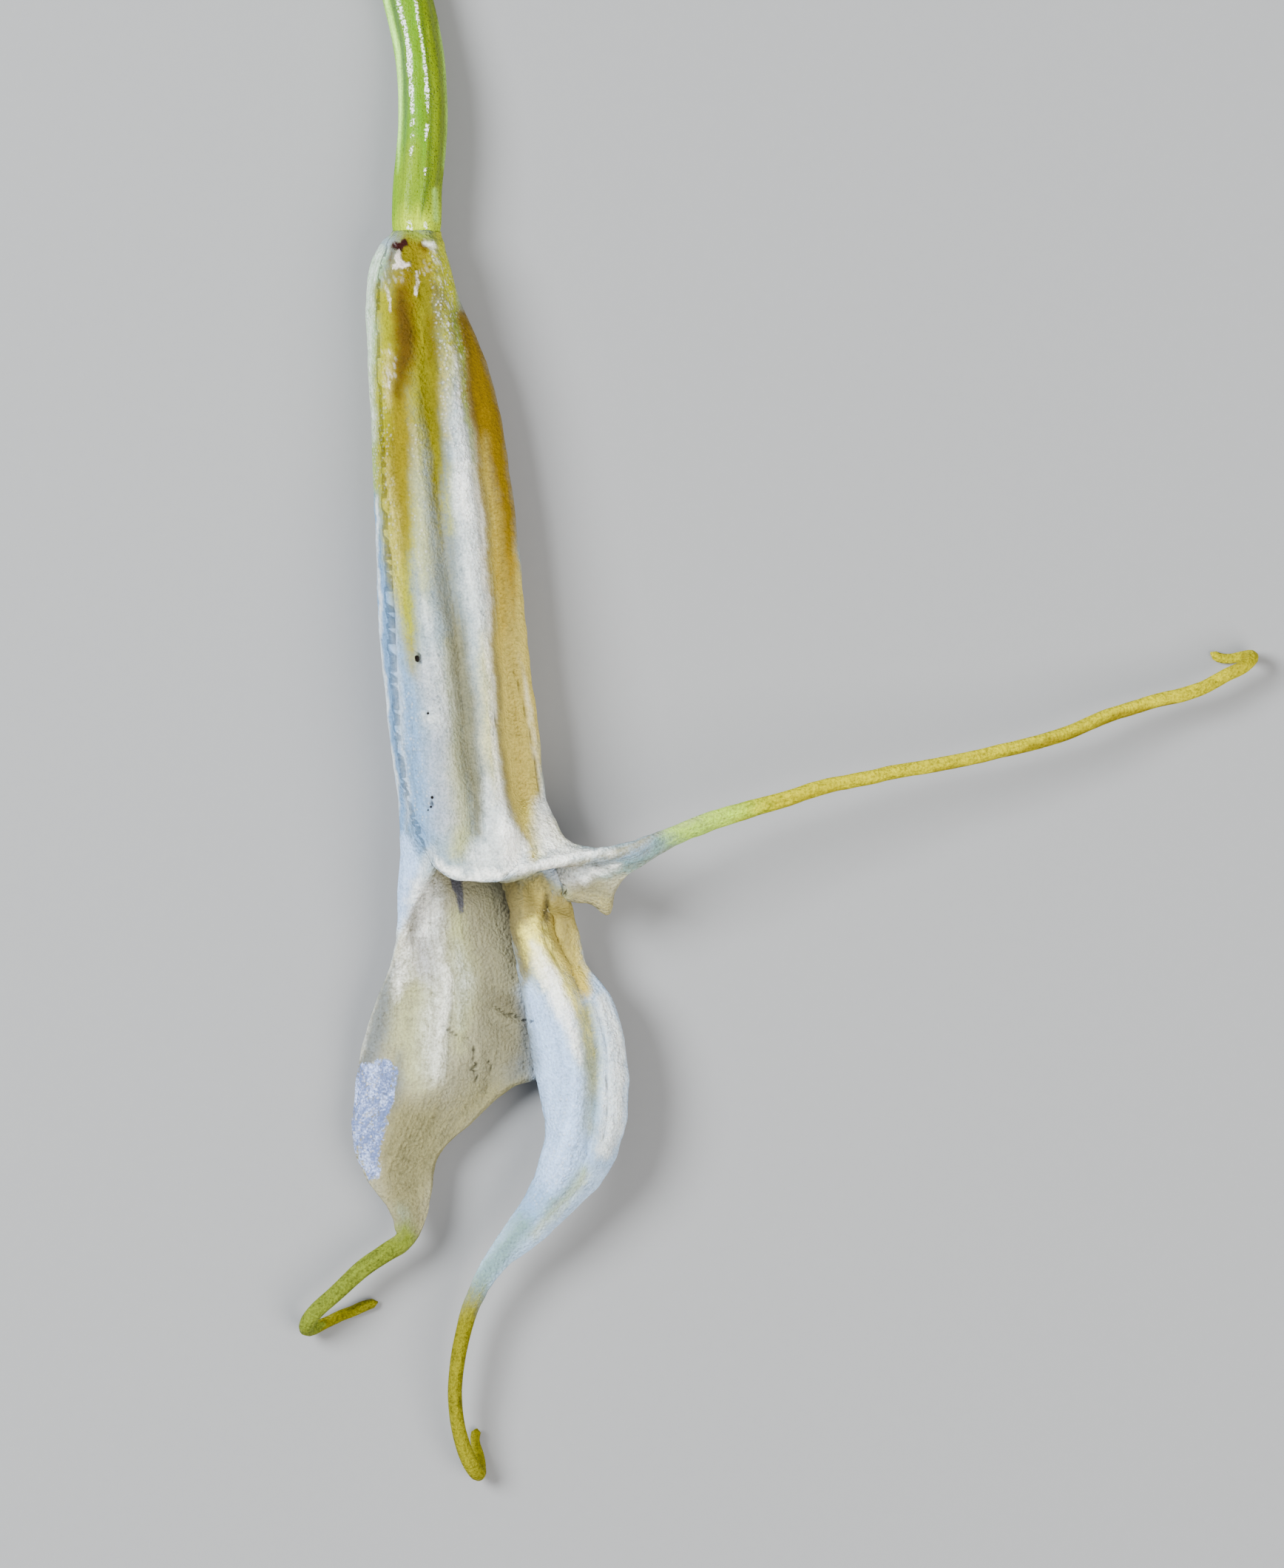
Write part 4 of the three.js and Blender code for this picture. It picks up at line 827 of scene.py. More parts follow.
# Where each tone lies on the sepals
sepalPaint = {
    "mint": [
        stroke(0.45, 1, [-2, -0.9, 0.25], [-2.3, -2, 0.3], [-2.4, -4, 0.3], [-2.35, -7, 0.25],
               [-2.2, -10, 0.2], [-2.15, -13, 0.15]),
        stroke(0.45, 0.6, [1.25, -2.2, 0.15], [1.6, -3.6, 0.15], [1.75, -5, 0.2], [1.85, -6.4, 0.2]),
    ],
    "cool": [
        stroke(0.3, 1, [-2.15, -12.4, 0.1], [-2.05, -14.5, 0.25], [-1.9, -16, 0.4], [-1.65, -18, 0.5],
               [-1.45, -20, 0.55], [-1.5, -22, 0.35], [-1.3, -24, 0.3], [-0.95, -27, 0.22],
               [-0.85, -28.5, 0.15]),
        stroke(0.9, 0.85, [-0.9, -20.2, 0.1], [-0.7, -22, 0.5], [-0.45, -24, 0.6], [-0.2, -26, 0.6],
               [0, -28, 0.5], [0.2, -29.4, 0.3]),
        stroke(0.6, 0.6, [8.5, -41.6, 0.1], [8.85, -42.8, 0.3], [8.7, -44.2, 0.3]),
        stroke(0.5, 0.6, [8.2, -30.5, 0.15], [9.4, -30.1, 0.2], [10.8, -29.5, 0.2], [12.4, -28.9, 0.2]),
        stroke(0.6, 0.4, [5.9, -38, 0.1], [6.2, -39.2, 0.2], [6.5, -40.4, 0]),
        stroke(0.9, 0.7, [7, -42.2, 0.1], [6.9, -43.8, 0.5], [6.4, -45.2, 0.5], [5.3, -46.8, 0.4]),
    ],
    "pearl": [
        stroke(0.7, 1, [5.4, -36.3, 0.2], [6.2, -38.3, 0.6], [6.8, -41, 0.9], [6.9, -43.3, 0.8],
               [6.5, -45, 0.5]),
        stroke(0.35, 1, [-0.65, -29.2, 0.3], [-0.55, -30.5, 0.6], [-0.7, -31.5, 0.5], [-0.9, -33, 0.15]),
        stroke(0.6, 0.7, [3.9, -28.2, 0.15], [4.35, -29.2, 0.35], [4.5, -29.7, 0.3]),
    ],
    "linen": [
        stroke(0.7, 0.45, [4.7, -19.5, 0.4], [4.9, -23, 0.5], [5.1, -26, 0.4], over=0.3),
        stroke(0.4, 0.85, [3.15, -17.5, -0.1], [3.3, -21, 0.2], [3.5, -24, 0.25], [3.75, -26.5, 0.12]),
        stroke(0.5, 0.9, [1.45, -19.5, 0.05], [1.65, -22, 0.15], [1.85, -24.5, 0.2], [2, -27, 0.25],
               [2.15, -29.3, 0.3]),
        stroke(0.5, 0.9, [-0.15, -9.2, 0.1], [-0.05, -12, 0.25], [0.15, -14, 0.25], [0.35, -16, 0.2],
               [0.5, -18, -0.2]),
        stroke(0.4, 0.5, [6.6, -28.3, 0.2], [7.5, -29.2, 0.2]),
        stroke(1.2, 0.55, [0, -31.5, -0.9], [0, -34.5, 0.1], [0, -36.5, 0.7], [-0.2, -38.5, 0.9],
               [-0.1, -40, 0.5]),
        stroke(0.4, 0.7, [5, -34.2, 0], [5.35, -35.2, 0.15], [5.7, -36.2, -0.1]),
        stroke(0.7, 0.8, [1.9, -32.6, 0.1], [2.1, -35, 0.35], [2.15, -37, 0.3], [2, -39, -0.2]),
        stroke(0.5, 0.85, [8.1, -37.4, 0.2], [8.25, -39.5, 0.3], [8.35, -41.5, 0.25], [8.3, -43, 0.1]),
        stroke(0.4, 0.8, [7.9, -45.2, 0.15], [6.6, -46.8, 0.15], [5.6, -47.9, 0.1]),
        stroke(0.5, 0.8, [4.8, -30.9, 0.2], [6, -31, 0.3], [7, -31.3, 0.2], below=6),
    ],
    "lilac": [
        stroke(0.7, 0.45, [0.65, -20.5, 0.35], [0.95, -22.5, 0.4], [1.15, -25, 0.4], [1.35, -28, 0.4]),
        stroke(0.9, 0.7, [0.1, -31.6, 0.2], [0.2, -33.5, 0.3], [0.35, -35, 0.25]),
        stroke(0.6, 0.6, [6.8, -30.4, 0.2], [7.6, -30.8, 0.25], below=6),
        stroke(0.5, 0.5, [5.9, -28.2, 0.1], [6.3, -28.8, 0.15]),
    ],
    "moss": [
        stroke(0.55, 1, [-0.1, -0.6, 0.9], [-0.1, -2, 0.9], [0.1, -3.5, 0.8], [0.4, -5.5, 0.65],
               [0.65, -7.5, 0.5], [0.8, -9.5, 0.4], [0.9, -11.5, 0.2], [1, -13.5, -0.15], [1.1, -15.5, -0.5]),
        stroke(0.5, 0.8, [-1.3, -1.7, 0.3], [-1.2, -2.8, 0.3], [-1, -6, 0.2]),
        stroke(0.25, 0.8, [-1.95, -2, 0.06], [-1.95, -2.8, 0.08], [-1.9, -3.4, 0.03]),
    ],
    "honeydew": [
        stroke(0.6, 1, [-1.5, -3, 0.3], [-1.4, -6, 0.4], [-1.3, -9, 0.5], [-1.1, -12, 0.55],
               [-0.8, -14.5, 0.3], [-0.55, -17, -0.1], [-0.3, -19, -0.5]),
        stroke(0.6, 0.85, [0, -6, 0.5], [0, -8.5, 0.35], [0.1, -10.5, -0.1], [0.2, -12.5, -0.5]),
        stroke(0.5, 0.9, [1.2, -1.5, 0.2], [1.45, -3.5, 0.3], [1.5, -6, 0.2], [1.6, -8, -0.3]),
        stroke(0.4, 0.5, [1.5, -11, 0.1], [1.6, -14, 0.1]),
    ],
    "straw": [
        stroke(0.5, 1, [-1.55, -2.4, 0.1], [-1.5, -4, 0.2], [-1.5, -6, 0.25], [-1.6, -8, 0.3],
               [-1.5, -10, 0.35], [-1.35, -12.5, 0.4], [-1.1, -14.5, 0.32], [-0.8, -16.5, 0.28],
               [-0.55, -18.2, 0.2], [-0.3, -19.5, 0], [-0.1, -20.6, -0.25]),
        stroke(0.3, 0.4, [0.15, -3.6, 0.04], [0, -6, 0.08], [-0.15, -8, 0.05]),
    ],
    "gold": [
        stroke(0.5, 1, [-0.85, -6.4, 0.12], [-0.9, -8, 0.35], [-0.85, -10, 0.45], [-0.8, -12, 0.38],
               [-0.7, -13.6, 0.15], [-0.6, -15.4, -0.15], [-0.5, -17, -0.5]),
        stroke(0.5, 0.85, [-0.6, -1.8, 0.2], [-0.65, -3.5, 0.4], [-0.6, -5, 0.45], [-0.7, -6.8, 0.3]),
        stroke(0.5, 0.45, [-1.45, -9.5, 0.15], [-1.2, -12.5, 0.3], [-0.9, -15.2, 0.2]),
        stroke(0.5, 0.6, [-0.15, -0.35, 0.5], [0.25, -1.1, 0.5]),
        stroke(0.35, 0.55, [-0.35, -19.4, 0.08], [-0.15, -20.5, 0.1], [-0.1, -21, 0.03]),
    ],
    # grey-tan of the groove, darkened as painted shade in the hollow
    "dusk": [
        stroke(0.6, 0.7, [0.9, -10.5, -0.3], [1, -12.5, 0.1], [1.15, -14.5, 0.35], [1.45, -17, 0.4],
               [1.8, -19, 0.3], [2.1, -21, -0.2]),
        stroke(0.55, 0.95, [1.6, -17.5, -0.3], [1.95, -19.8, 0.3], [2.3, -22, 0.42], [2.55, -24.5, 0.42],
               [2.8, -26.5, 0.35], [3, -28.6, 0.1]),
    ],
    "tan": [
        stroke(0.4, 0.4, [5.7, -31.4, 0.5], [5.75, -32.3, 0.45], [5.75, -32.9, 0.1], sepal=1),
        stroke(0.3, 1, [3.7, -11, -0.5], [3.9, -13, 0.2], [4, -15, 0.6], [4.3, -17, 0.85], [4.45, -19, 0.95],
               [4.7, -22, 0.95], [4.95, -25, 0.95], [5, -26.8, 0.7], over=0.3),
        stroke(0.35, 1, [4.9, -26.5, 0.6], [5.1, -28, 0.3], [5.4, -29.2, 0.12], [5.62, -29.7, 0.05]),
        stroke(0.4, 1, [6.85, -32.3, 0.7], [6.9, -33.3, 0.7], [7.15, -34.4, 0.6], [7.6, -35.3, 0.45],
               [7.9, -36.1, 0.3], sepal=1),
        stroke(0.35, 0.9, [5.6, -31.8, 0.35], [5.65, -32.8, 0.3], [5.75, -33.2, 0.15]),
        stroke(0.4, 0.2, [7.3, -31.9, 0.05], [8.7, -32.1, 0.12], [9.2, -32.3, 0.15], below=5),
    ],
    "honey": [
        stroke(0.5, 0.95, [2.7, -6, -0.3], [2.8, -8, 0.1], [2.95, -9.5, 0.3], [3.2, -11.5, 0.4],
               [3.5, -14, 0.4], [3.7, -16.5, 0.3], [3.9, -18.5, 0.05], [4, -21, -0.5], over=0.3),
        stroke(0.5, 0.3, [7.7, -35.6, 0.1], [8, -36.3, 0.1]),
    ],
    "amber": [
        stroke(0.4, 1, [2.15, -3.6, 0.2], [2.5, -5.4, 0.5], [2.9, -7.3, 0.75], [3.65, -9.5, 0.45],
               [4.1, -11.5, 0.3], [4.35, -13.5, 0.22], [4.5, -15.5, 0.12], [4.55, -17.2, -0.05],
               [4.6, -19.5, -0.4], over=0.3),
    ],
    "rust": [
        stroke(0.5, 0.4, [2.1, -3.2, 0.12], [2.45, -4.6, 0.25], [2.95, -6, 0.25], [3.5, -7.6, 0.18],
               [3.8, -9.2, 0.2], [4.05, -11, 0.2], [4.25, -13, 0.1], [4.4, -15, -0.2], over=0.3),
        stroke(0.18, 0.55, [2.15, -3.4, 0.05], [2.4, -5.6, 0.06], [2.75, -8.6, 0.04], [3.1, -12, 0.05],
               [3.35, -15, 0.05], [3.6, -18.5, 0.03], below=4.75),
    ],
    "lime": [
        stroke(0.5, 0.9, [-1.2, 0.5, 0.1], [-0.1, 0.42, 0.12], [1.05, 0.3, 0.18]),
        stroke(0.18, 0.85, [1, -0.2, 0.06], [1.35, -1.2, 0.07], [1.7, -2.8, 0.08], [1.92, -4.5, 0.07],
               [2.2, -7, 0.06], [2.55, -9.7, 0.04], [2.85, -12, -0.05], over=2.6),
    ],
    "citron": [
        stroke(0.35, 0.85, [1.15, 0.35, 0.1], [1.15, -0.3, 0.15], [1.3, -1, 0.18], [1.5, -2, 0.15],
               [1.7, -3, 0]),
        stroke(0.4, 0.4, [0.85, -0.8, 0.1], [1.1, -2, 0.05]),
    ],
    "ash": [
        stroke(0.6, 0.9, [-1.2, -35, 0], [-1.7, -36.8, 0.3], [-2.2, -38.4, 0.4], [-2.5, -39.6, 0.3]),
        stroke(0.4, 0.8, [-1, -39.4, -0.1], [-1, -41, 0.15], [-1.2, -42.4, 0.05]),
        stroke(0.6, 0.8, [5.3, -38.3, 0], [5.2, -39.6, 0.3], [4.6, -40.5, 0.2]),
        stroke(0.5, 0.5, [8.8, -42.8, 0], [9, -43.8, 0.15], [8.5, -44.8, 0.1]),
    ],
    # tan of the right sepal in painted shade, on its hollows
    "cocoa": [
        stroke(0.4, 0.85, [4.45, -31.4, 0.25], [4.7, -32.6, 0.3], [4.95, -33.4, 0.3], [5.1, -34.2, 0.1],
               [5.3, -35.2, -0.1], sepal=1),
        stroke(0.35, 0.8, [5.3, -31.5, 0.2], [5.5, -32.3, 0.2], [5.6, -33, -0.1], sepal=1),
        stroke(0.45, 0.8, [6.9, -31.9, 0.4], [7.15, -33, 0.3], [7.3, -34, 0.15], [7.5, -35, -0.2], sepal=1),
        stroke(0.3, 0.7, [6.15, -31.6, 0.1], [6.2, -33, 0.08], [6.5, -34.4, 0.08], [6.95, -35.3, -0.1],
               sepal=1),
    ],
    "shade": [
        stroke(1.3, 0.7, [2.6, -31.4, 0.3], [3.2, -32, 0.5], [3.5, -33.5, 0.5], [3.7, -35.5, 0.6],
               [3.9, -37.5, 0.8], [3.8, -39.5, 0.8], [2.6, -40.9, 0.6], below=3.4),
        stroke(0.4, 0.6, [4.75, -33, 0.05], [4.9, -34.2, 0.12], [5.2, -35.4, 0.05]),
    ],
    # painted shade: dark lines beside fold edges, in creases, under the rim's corner and under a fold
    "umber": [
        stroke(0.18, 0.6, [2.95, -9.8, -0.1], [3.3, -12.5, 0], [3.5, -15.3, 0.02], [3.78, -19.9, 0.04],
               [3.95, -23.6, 0.05], [4.22, -26.2, 0.05], [4.62, -28.1, 0.05], [5.25, -29.1, 0.04],
               [5.7, -29.8, 0.02]),
        stroke(0.16, 0.8, [6.15, -31.5, 0.02], [6.17, -33, 0.03], [6.45, -34.3, 0.02], [6.8, -35, -0.1],
               sepal=1),
        stroke(0.35, 0.5, [4.35, -31.6, 0.03], [4.5, -32.6, 0.06], [4.75, -33.8, 0.05], [5, -35.2, 0.03]),
        stroke(0.5, 0.5, [4.15, -31.3, 0.1], [4.3, -32.4, 0.2], [4.55, -33.6, 0.1], [4.75, -34.6, 0.03],
               below=2.2),
        stroke(0.6, 0.5, [4, -36.8, 0.1], [5, -37.3, 0.25], [5.4, -38.2, 0.2], below=2.4),
        stroke(0.7, 0.3, [4, -38.2, 0.1], [4.6, -39, 0.2], [4.4, -39.8, 0], below=2.4),
    ],
    "khaki": [
        stroke(0.4, 1, [4.4, -31.2, 0.45], [4.75, -32.4, 0.5], [4.9, -33.4, 0.4], [5, -34.4, 0.2],
               [5.05, -35.4, 0.05], [5.1, -36.4, -0.2], sepal=1),
        stroke(0.4, 1, [5.7, -31.2, 0.6], [5.75, -32.3, 0.45], [5.7, -33.1, 0.1], sepal=1),
        stroke(0.35, 0.9, [7.45, -32, 0.2], [7.65, -33.2, 0.2], [7.75, -34.2, 0.1], [8.1, -35, -0.1],
               sepal=1),
        stroke(0.45, 0.75, [7.5, -31.6, 0.1], [8.3, -31.4, 0.25], [9, -31.9, 0.3], below=5),
        stroke(0.8, 1, [0, -42, 1.1], [-0.5, -44, 1.2], [-0.6, -46, 0.8], [-0.5, -48, 0.6],
               top=[-40.2, -42.4]),
        stroke(0.8, 0.85, [4.6, -40.9, 0.2], [3.2, -41.5, 0.4], [2.2, -42.4, 0.5], [1.2, -43.6, 0.5],
               [0.5, -44.8, 0.4]),
    ],
    "sage": [
        stroke(0.35, 0.7, [8.7, -30.75, 0], [9.5, -30.35, 0.15], [10.6, -29.95, 0.15], [12, -29.3, 0.1]),
        stroke(0.5, 0.5, [7.9, -45, 0], [7.3, -45.8, 0.15], [6.2, -46.9, 0.15]),
        stroke(0.6, 0.85, [5, -47.5, 0.3], [4.2, -48.6, 0.35], [3.4, -49.8, 0.3], [2.8, -51, 0.3]),
        stroke(0.6, 0.7, [11.8, -29.1, 0.2], [13.5, -28.5, 0.3]),
        stroke(0.5, 0.2, [-0.8, -47, 0.2], [-0.6, -48.2, 0.3]),
    ],
    "white": [
        stroke(0.5, 0.35, [1.75, -5.8, 0.05], [1.95, -7.5, 0.15], [2.15, -9.5, 0.25], [2.35, -12, 0.35],
               [2.6, -14.5, 0.45], [2.85, -16.8, 0.4], [3, -18.6, 0.3], [3.1, -19.6, 0.15], over=3.5),
        stroke(0.5, 0.85, [2.1, -8.4, -0.2], [2.25, -9.8, 0.12], [2.35, -11, 0.2], [2.5, -13.5, 0.26],
               [2.75, -16.5, 0.3], [3, -18.5, 0.15], over=3.5),
        stroke(0.5, 0.25, [3, -19.2, 0.25], [3.15, -21.5, 0.2], [3.35, -24, 0.2], [3.5, -26, 0.2], over=3.5),
        stroke(0.5, 1, [3.55, -26.4, 0.15], [3.9, -28, 0.4], [4.3, -29.3, 0.7], [3.2, -29.9, 0.5], over=3.5),
        stroke(0.25, 0.1, [-0.2, -9.2, 0.03], [-0.15, -10.5, 0.08], [0, -12, 0.08]),
        stroke(0.4, 0.6, [0.35, -17.6, 0.05], [0.45, -18.2, 0.15], [0.55, -18.9, 0.05]),
        stroke(0.2, 0.6, [0.35, -23.1, 0.1], [0.9, -23.1, 0.15], [1.15, -23.3, 0.05]),
        stroke(0.6, 0.4, [0.7, -20, 0.3], [1, -21.6, 0.3], [0.9, -23.2, 0.4]),
        stroke(0.6, 0.4, [0.6, -31.2, 0.3], [0.5, -33, 0.4]),
        stroke(0.3, 0.6, [0.8, -29.4, 0.1], [0.2, -30.6, 0.1], [-0.4, -32, 0.1], over=3),
        stroke(0.8, 0.35, [0.7, -33, 0], [0.9, -35.5, 0.1], [0.8, -37.5, 0.2], [0.6, -39.8, 0.2]),
        stroke(0.6, 0.45, [1.9, -34, -0.3], [2.1, -36, 0.2], [2, -37.8, -0.3]),
        stroke(0.35, 0.8, [6.9, -30.5, 0.12], [7.6, -30.55, 0.15], [8.3, -30.5, 0.05], below=5),
        stroke(0.35, 0.8, [8.9, -36.7, 0.3], [9.5, -38.5, 0.35], [9.6, -40.5, 0.4], [9.4, -42.5, 0.4],
               [8.9, -44, 0.3]),
        stroke(0.3, 0.6, [-1.95, -0.6, 0.1], [-2.3, -1.6, 0.08], [-2.45, -3.5, 0.06], [-2.45, -6, 0.06],
               [-2.3, -9.5, 0.05]),
    ],
    # painted highlights: the bright rim crescent, crest lines and lit folds
    "glow": [
        stroke(0.25, 1, [1.05, -30.1, 0.05], [1.7, -30.42, 0.09], [2.35, -30.68, 0.13], [3.8, -30.66, 0.12],
               [5, -30.28, 0.1], [6.5, -29.95, 0.07], [8, -29.72, 0.05], [9.3, -29.5, 0.04], over=4.7),
        stroke(0.5, 0.8, [5.9, -27.3, 0.1], [6.1, -28.2, 0.3], [6.4, -29, 0.4], [7.2, -29.4, 0.2]),
        stroke(0.3, 0.6, [6, -30.05, 0.1], [7.2, -29.85, 0.08], over=4.7),
        stroke(0.6, 0.5, [0.2, -31.5, 0.1], [0.35, -32.3, 0.2], [0.3, -33.2, 0.05]),
        stroke(0.5, 0.6, [-0.6, -33.2, -0.1], [-0.7, -34.4, 0.05], [-0.9, -35.6, 0.1], [-1.05, -36.6, -0.2]),
        stroke(0.35, 0.8, [6.2, -35.4, 0.1], [6.6, -36.5, 0.2], [7, -37.6, -0.1]),
        stroke(0.5, 0.95, [4.3, -28.3, 0.1], [4.7, -29.1, 0.25], [4.6, -29.8, 0.3]),
        stroke(0.7, 0.3, [1.1, -34, -0.4], [1, -36.5, 0.1], [0.85, -38.5, 0.1], [0.75, -40.5, -0.2]),
        stroke(0.35, 0.45, [5.4, -34.4, -0.2], [5.8, -34.9, 0.15], [6.3, -35.6, 0.25], [6.8, -36.5, 0.15],
               [7.2, -37.3, 0.1], [7.6, -38.6, 0.05], [7.75, -39.8, -0.1]),
        stroke(0.4, 0.6, [2.2, -11, 0.12], [2.1, -12.1, 0.1], [2.35, -13.5, 0.1]),
        stroke(0.25, 0.7, [8, -30.9, 0.05], [8.8, -30.5, 0.08], [9.5, -30.2, 0.08]),
    ],
    # cream-yellow of the sepals, lightened along the right sepal's crest as painted highlight
    "cream": [
        stroke(0.45, 0.8, [5.3, -33.2, 0.05], [5.5, -34, 0.25], [5.9, -35, 0.2], [6.3, -36, 0]),
        stroke(0.4, 0.95, [5.65, -32.7, -0.1], [5.85, -33.5, 0.15], [6.15, -34.5, 0.22], [6.65, -35.5, 0.25],
               [7.2, -36.4, 0.2], [7.6, -37.1, 0], [7.9, -37.8, -0.3]),
        stroke(0.35, 0.6, [5.3, -27.4, 0.1], [5.6, -28.2, 0.15], [5.9, -29.3, 0.15]),
        stroke(0.4, 0.5, [6.3, -28.3, 0.1], [6.8, -29, 0.1]),
        stroke(0.4, 0.35, [8.05, -37.4, 0.05], [8.25, -38.4, 0], [8.35, -39.5, -0.2]),
    ],
    # brown marks of the tube; the first stroke is the column's shadow, painted as seen through the wall
    "brown": [
        stroke(0.45, 1, [-0.8, -2.6, 0.05], [-0.68, -3.6, 0.28], [-0.62, -4.7, 0.36], [-0.65, -5.6, 0.26],
               [-0.8, -6.6, 0.08], [-0.9, -7.6, 0.02]),
        stroke(0.4, 0.4, [-0.5, -1.6, 0.08], [-0.5, -2.6, 0.12]),
        stroke(0.45, 0.4, [0.65, -3.9, 0.08], [0.7, -5.6, 0.14]),
        stroke(0.5, 0.2, [0.8, -6.9, -0.1], [0.9, -8.2, 0.1], [0.9, -9.6, -0.1]),
        stroke(0.3, 0.35, [0.8, -2.4, 0.12], [1.15, -3.2, 0.12], [1.1, -3.8, 0.05]),
        stroke(0.16, 0.8, [-1.25, -0.3, 0.05], [-1.3, -0.8, 0.05], [-1.38, -1.15, 0.02]),
        stroke(0.2, 0.5, [-1.4, -6.6, 0.08], [-1.3, -7, 0.05]),
        stroke(0.2, 0.8, [0.2, -0.15, 0.15], [0.35, -0.35, 0.1]),
    ],
    # painted bluish sheen where the left sepal's turned-back margin faces the light
    "patch": [
        stroke(0.4, 1, [-2.1, -40.3, 0.85], [-2.2, -41.4, 0.8], [-2.55, -42.8, 0.75], [-2.5, -44, 0.45],
               [-2.1, -45, 0.1], top=[-39.1, -40.1]),
    ],
    "pistachio": [
        stroke(0.8, 0.8, [12.6, -28.6, 0.3], [14.5, -28, 0.5], [17, -27.2, 0.5], [19, -26.6, 0.3]),
    ],
    "lemon": [
        stroke(1.5, 1, [17.5, -27, 0.6], [24, -25.5, 0.8], [31, -23.9, 0.8], [37, -22, 0.8],
               [40, -20.4, 0.6]),
    ],
    # ochre streaks along the tail; the last two strokes are painted shadow at the hook's bend and under its
    # return
    "ochre": [
        stroke(0.2, 0.9, [25, -25.75, 0.02], [29, -24.85, 0.06], [31, -24.2, 0.12], [33, -23.4, 0.16],
               [35, -22.75, 0.12], [36.5, -22.3, 0.03]),
        stroke(0.15, 0.5, [15.5, -28.1, 0.02], [19, -26.9, 0.05], [23, -26.05, 0.04]),
        stroke(0.3, 0.5, [39.4, -20.55, 0.1], [40.1, -20.2, 0.2]),
        stroke(0.3, 0.9, [39.6, -20.2, 0.2], [38.4, -19.9, 0.3], below=0.9),
    ],
    "fern": [
        stroke(0.6, 1, [-0.6, -48.2, 0.3], [-2, -49.3, 0.7], [-4, -50.9, 0.7], [-5.4, -52.4, 0.7],
               [-3.5, -51.9, 0.4], [-2, -51.4, 0.3]),
    ],
    "mustard": [
        stroke(1.2, 1, [2.5, -51.6, 0.4], [1.9, -54, 0.7], [1.8, -56, 0.7], [2.5, -59, 0.8], [2.8, -60, 0.6]),
    ],
    "maroon": [
        stroke(0.2, 1, [-1.12, -0.38, 0.13], [-0.88, -0.48, 0.1], [-0.7, -0.28, 0.16]),
    ],
    "bud": [
        stroke(0.14, 1, [-1, -0.62, 0.03], [-0.98, -0.9, 0.1], [-0.95, -1.1, 0.12]),
        stroke(0.12, 0.9, [-1.15, -1.42, 0.05], [-0.85, -1.3, 0.07], [-0.5, -1.3, 0.07]),
        stroke(0.12, 0.7, [-0.15, -1.75, 0.04], [-0.03, -2.3, 0.07], [-0.08, -2.8, 0.03]),
        stroke(0.14, 0.6, [-1.45, -2.2, 0.05], [-1.35, -2.8, 0.06], [-1.3, -3.6, 0.03]),
        stroke(0.16, 0.6, [-1.4, -6.2, 0.03], [-1.28, -6.8, 0.08], [-1.4, -7.2, 0.04]),
    ],
    "butter": [
        stroke(0.3, 0.7, [-1.45, -5.6, 0], [-1.35, -6.4, 0.1], [-1.4, -7.2, 0.08], [-1.5, -8.2, -0.1]),
        stroke(0.5, 0.45, [-1.45, -10.5, -0.2], [-1.3, -12.8, 0], [-1.12, -15, 0.05], [-0.95, -16.8, 0],
               [-0.8, -18, -0.3]),
        stroke(0.4, 0.45, [3.15, -9.5, -0.1], [3.3, -11.5, 0.12], [3.55, -14, 0.2], [3.75, -17, 0.1],
               [3.95, -20, -0.1]),
        stroke(0.35, 0.35, [3.15, -19, -0.1], [3.35, -22, 0.15], [3.55, -25, 0.15], [3.8, -27, 0]),
        stroke(0.4, 0.3, [1.2, -5.5, 0], [1.3, -7.5, 0.05], [1.4, -9.5, -0.1]),
    ],
    # painted highlights: thin bright lines along ridges, fold edges and margins
    "thread": [
        stroke(0.12, 0.7, [-2.05, -12.5, 0], [-1.9, -17, 0.02], [-1.78, -20, 0.03], [-1.5, -23, 0.03],
               [-1.1, -26, 0.03], [-0.98, -28, 0.02]),
        stroke(0.2, 0.35, [-1.15, -17.5, -0.1], [-1, -20, 0], [-0.88, -22.5, 0.03], [-0.68, -25, 0.03],
               [-0.52, -27, 0.02], [-0.5, -28.5, -0.1]),
        stroke(0.13, 0.8, [2.55, -9.2, -0.15], [2.92, -12.2, 0], [3.22, -15.3, 0.02], [3.5, -19.9, 0.02],
               [3.68, -23.6, 0.03], [3.93, -26.2, 0.04], [4.35, -28.1, 0.05], [5.05, -29.1, 0.04],
               [5.5, -29.8, 0.02], over=3),
        stroke(0.14, 0.45, [4.9, -19.5, -0.1], [5.2, -21.8, 0.03], [5.5, -23.5, 0.04], [5.8, -25.2, 0.04],
               [6, -27, 0.03]),
        stroke(0.22, 0.9, [1.44, -34.6, -0.25], [1.4, -35.6, 0.03], [1.3, -36.8, 0.08], [1.2, -37.8, 0.06],
               [1.12, -38.6, -0.05], [1, -39.8, -0.15]),
        stroke(0.25, 0.75, [5.6, -34, 0.05], [6.2, -34.9, 0.1], [6.5, -35.5, 0.14], [7, -36.8, 0.1],
               [7.4, -37.9, 0.1], [7.7, -38.9, 0.08], [7.8, -39.8, -0.05]),
        stroke(0.18, 0.35, [8.75, -36.6, 0.03], [9.35, -37.4, 0.05], [9.75, -39, 0.04], [9.85, -41, 0.04],
               [9.7, -43, 0.03]),
        stroke(0.15, 0.4, [-0.95, -33.4, 0], [-1.5, -35.2, 0.03], [-2.3, -37.2, 0.03], [-2.95, -39.4, 0.02]),
        stroke(0.12, 0.7, [0.35, -0.1, 0.04], [0.85, -0.25, 0.07]),
    ],
    # painted shade in the slit under the rim
    "slit": [
        stroke(0.22, 1, [1.8, -30.5, 0.25], [1.85, -31.1, 0.17], [1.95, -31.7, 0.1], [2.1, -32.4, 0.02],
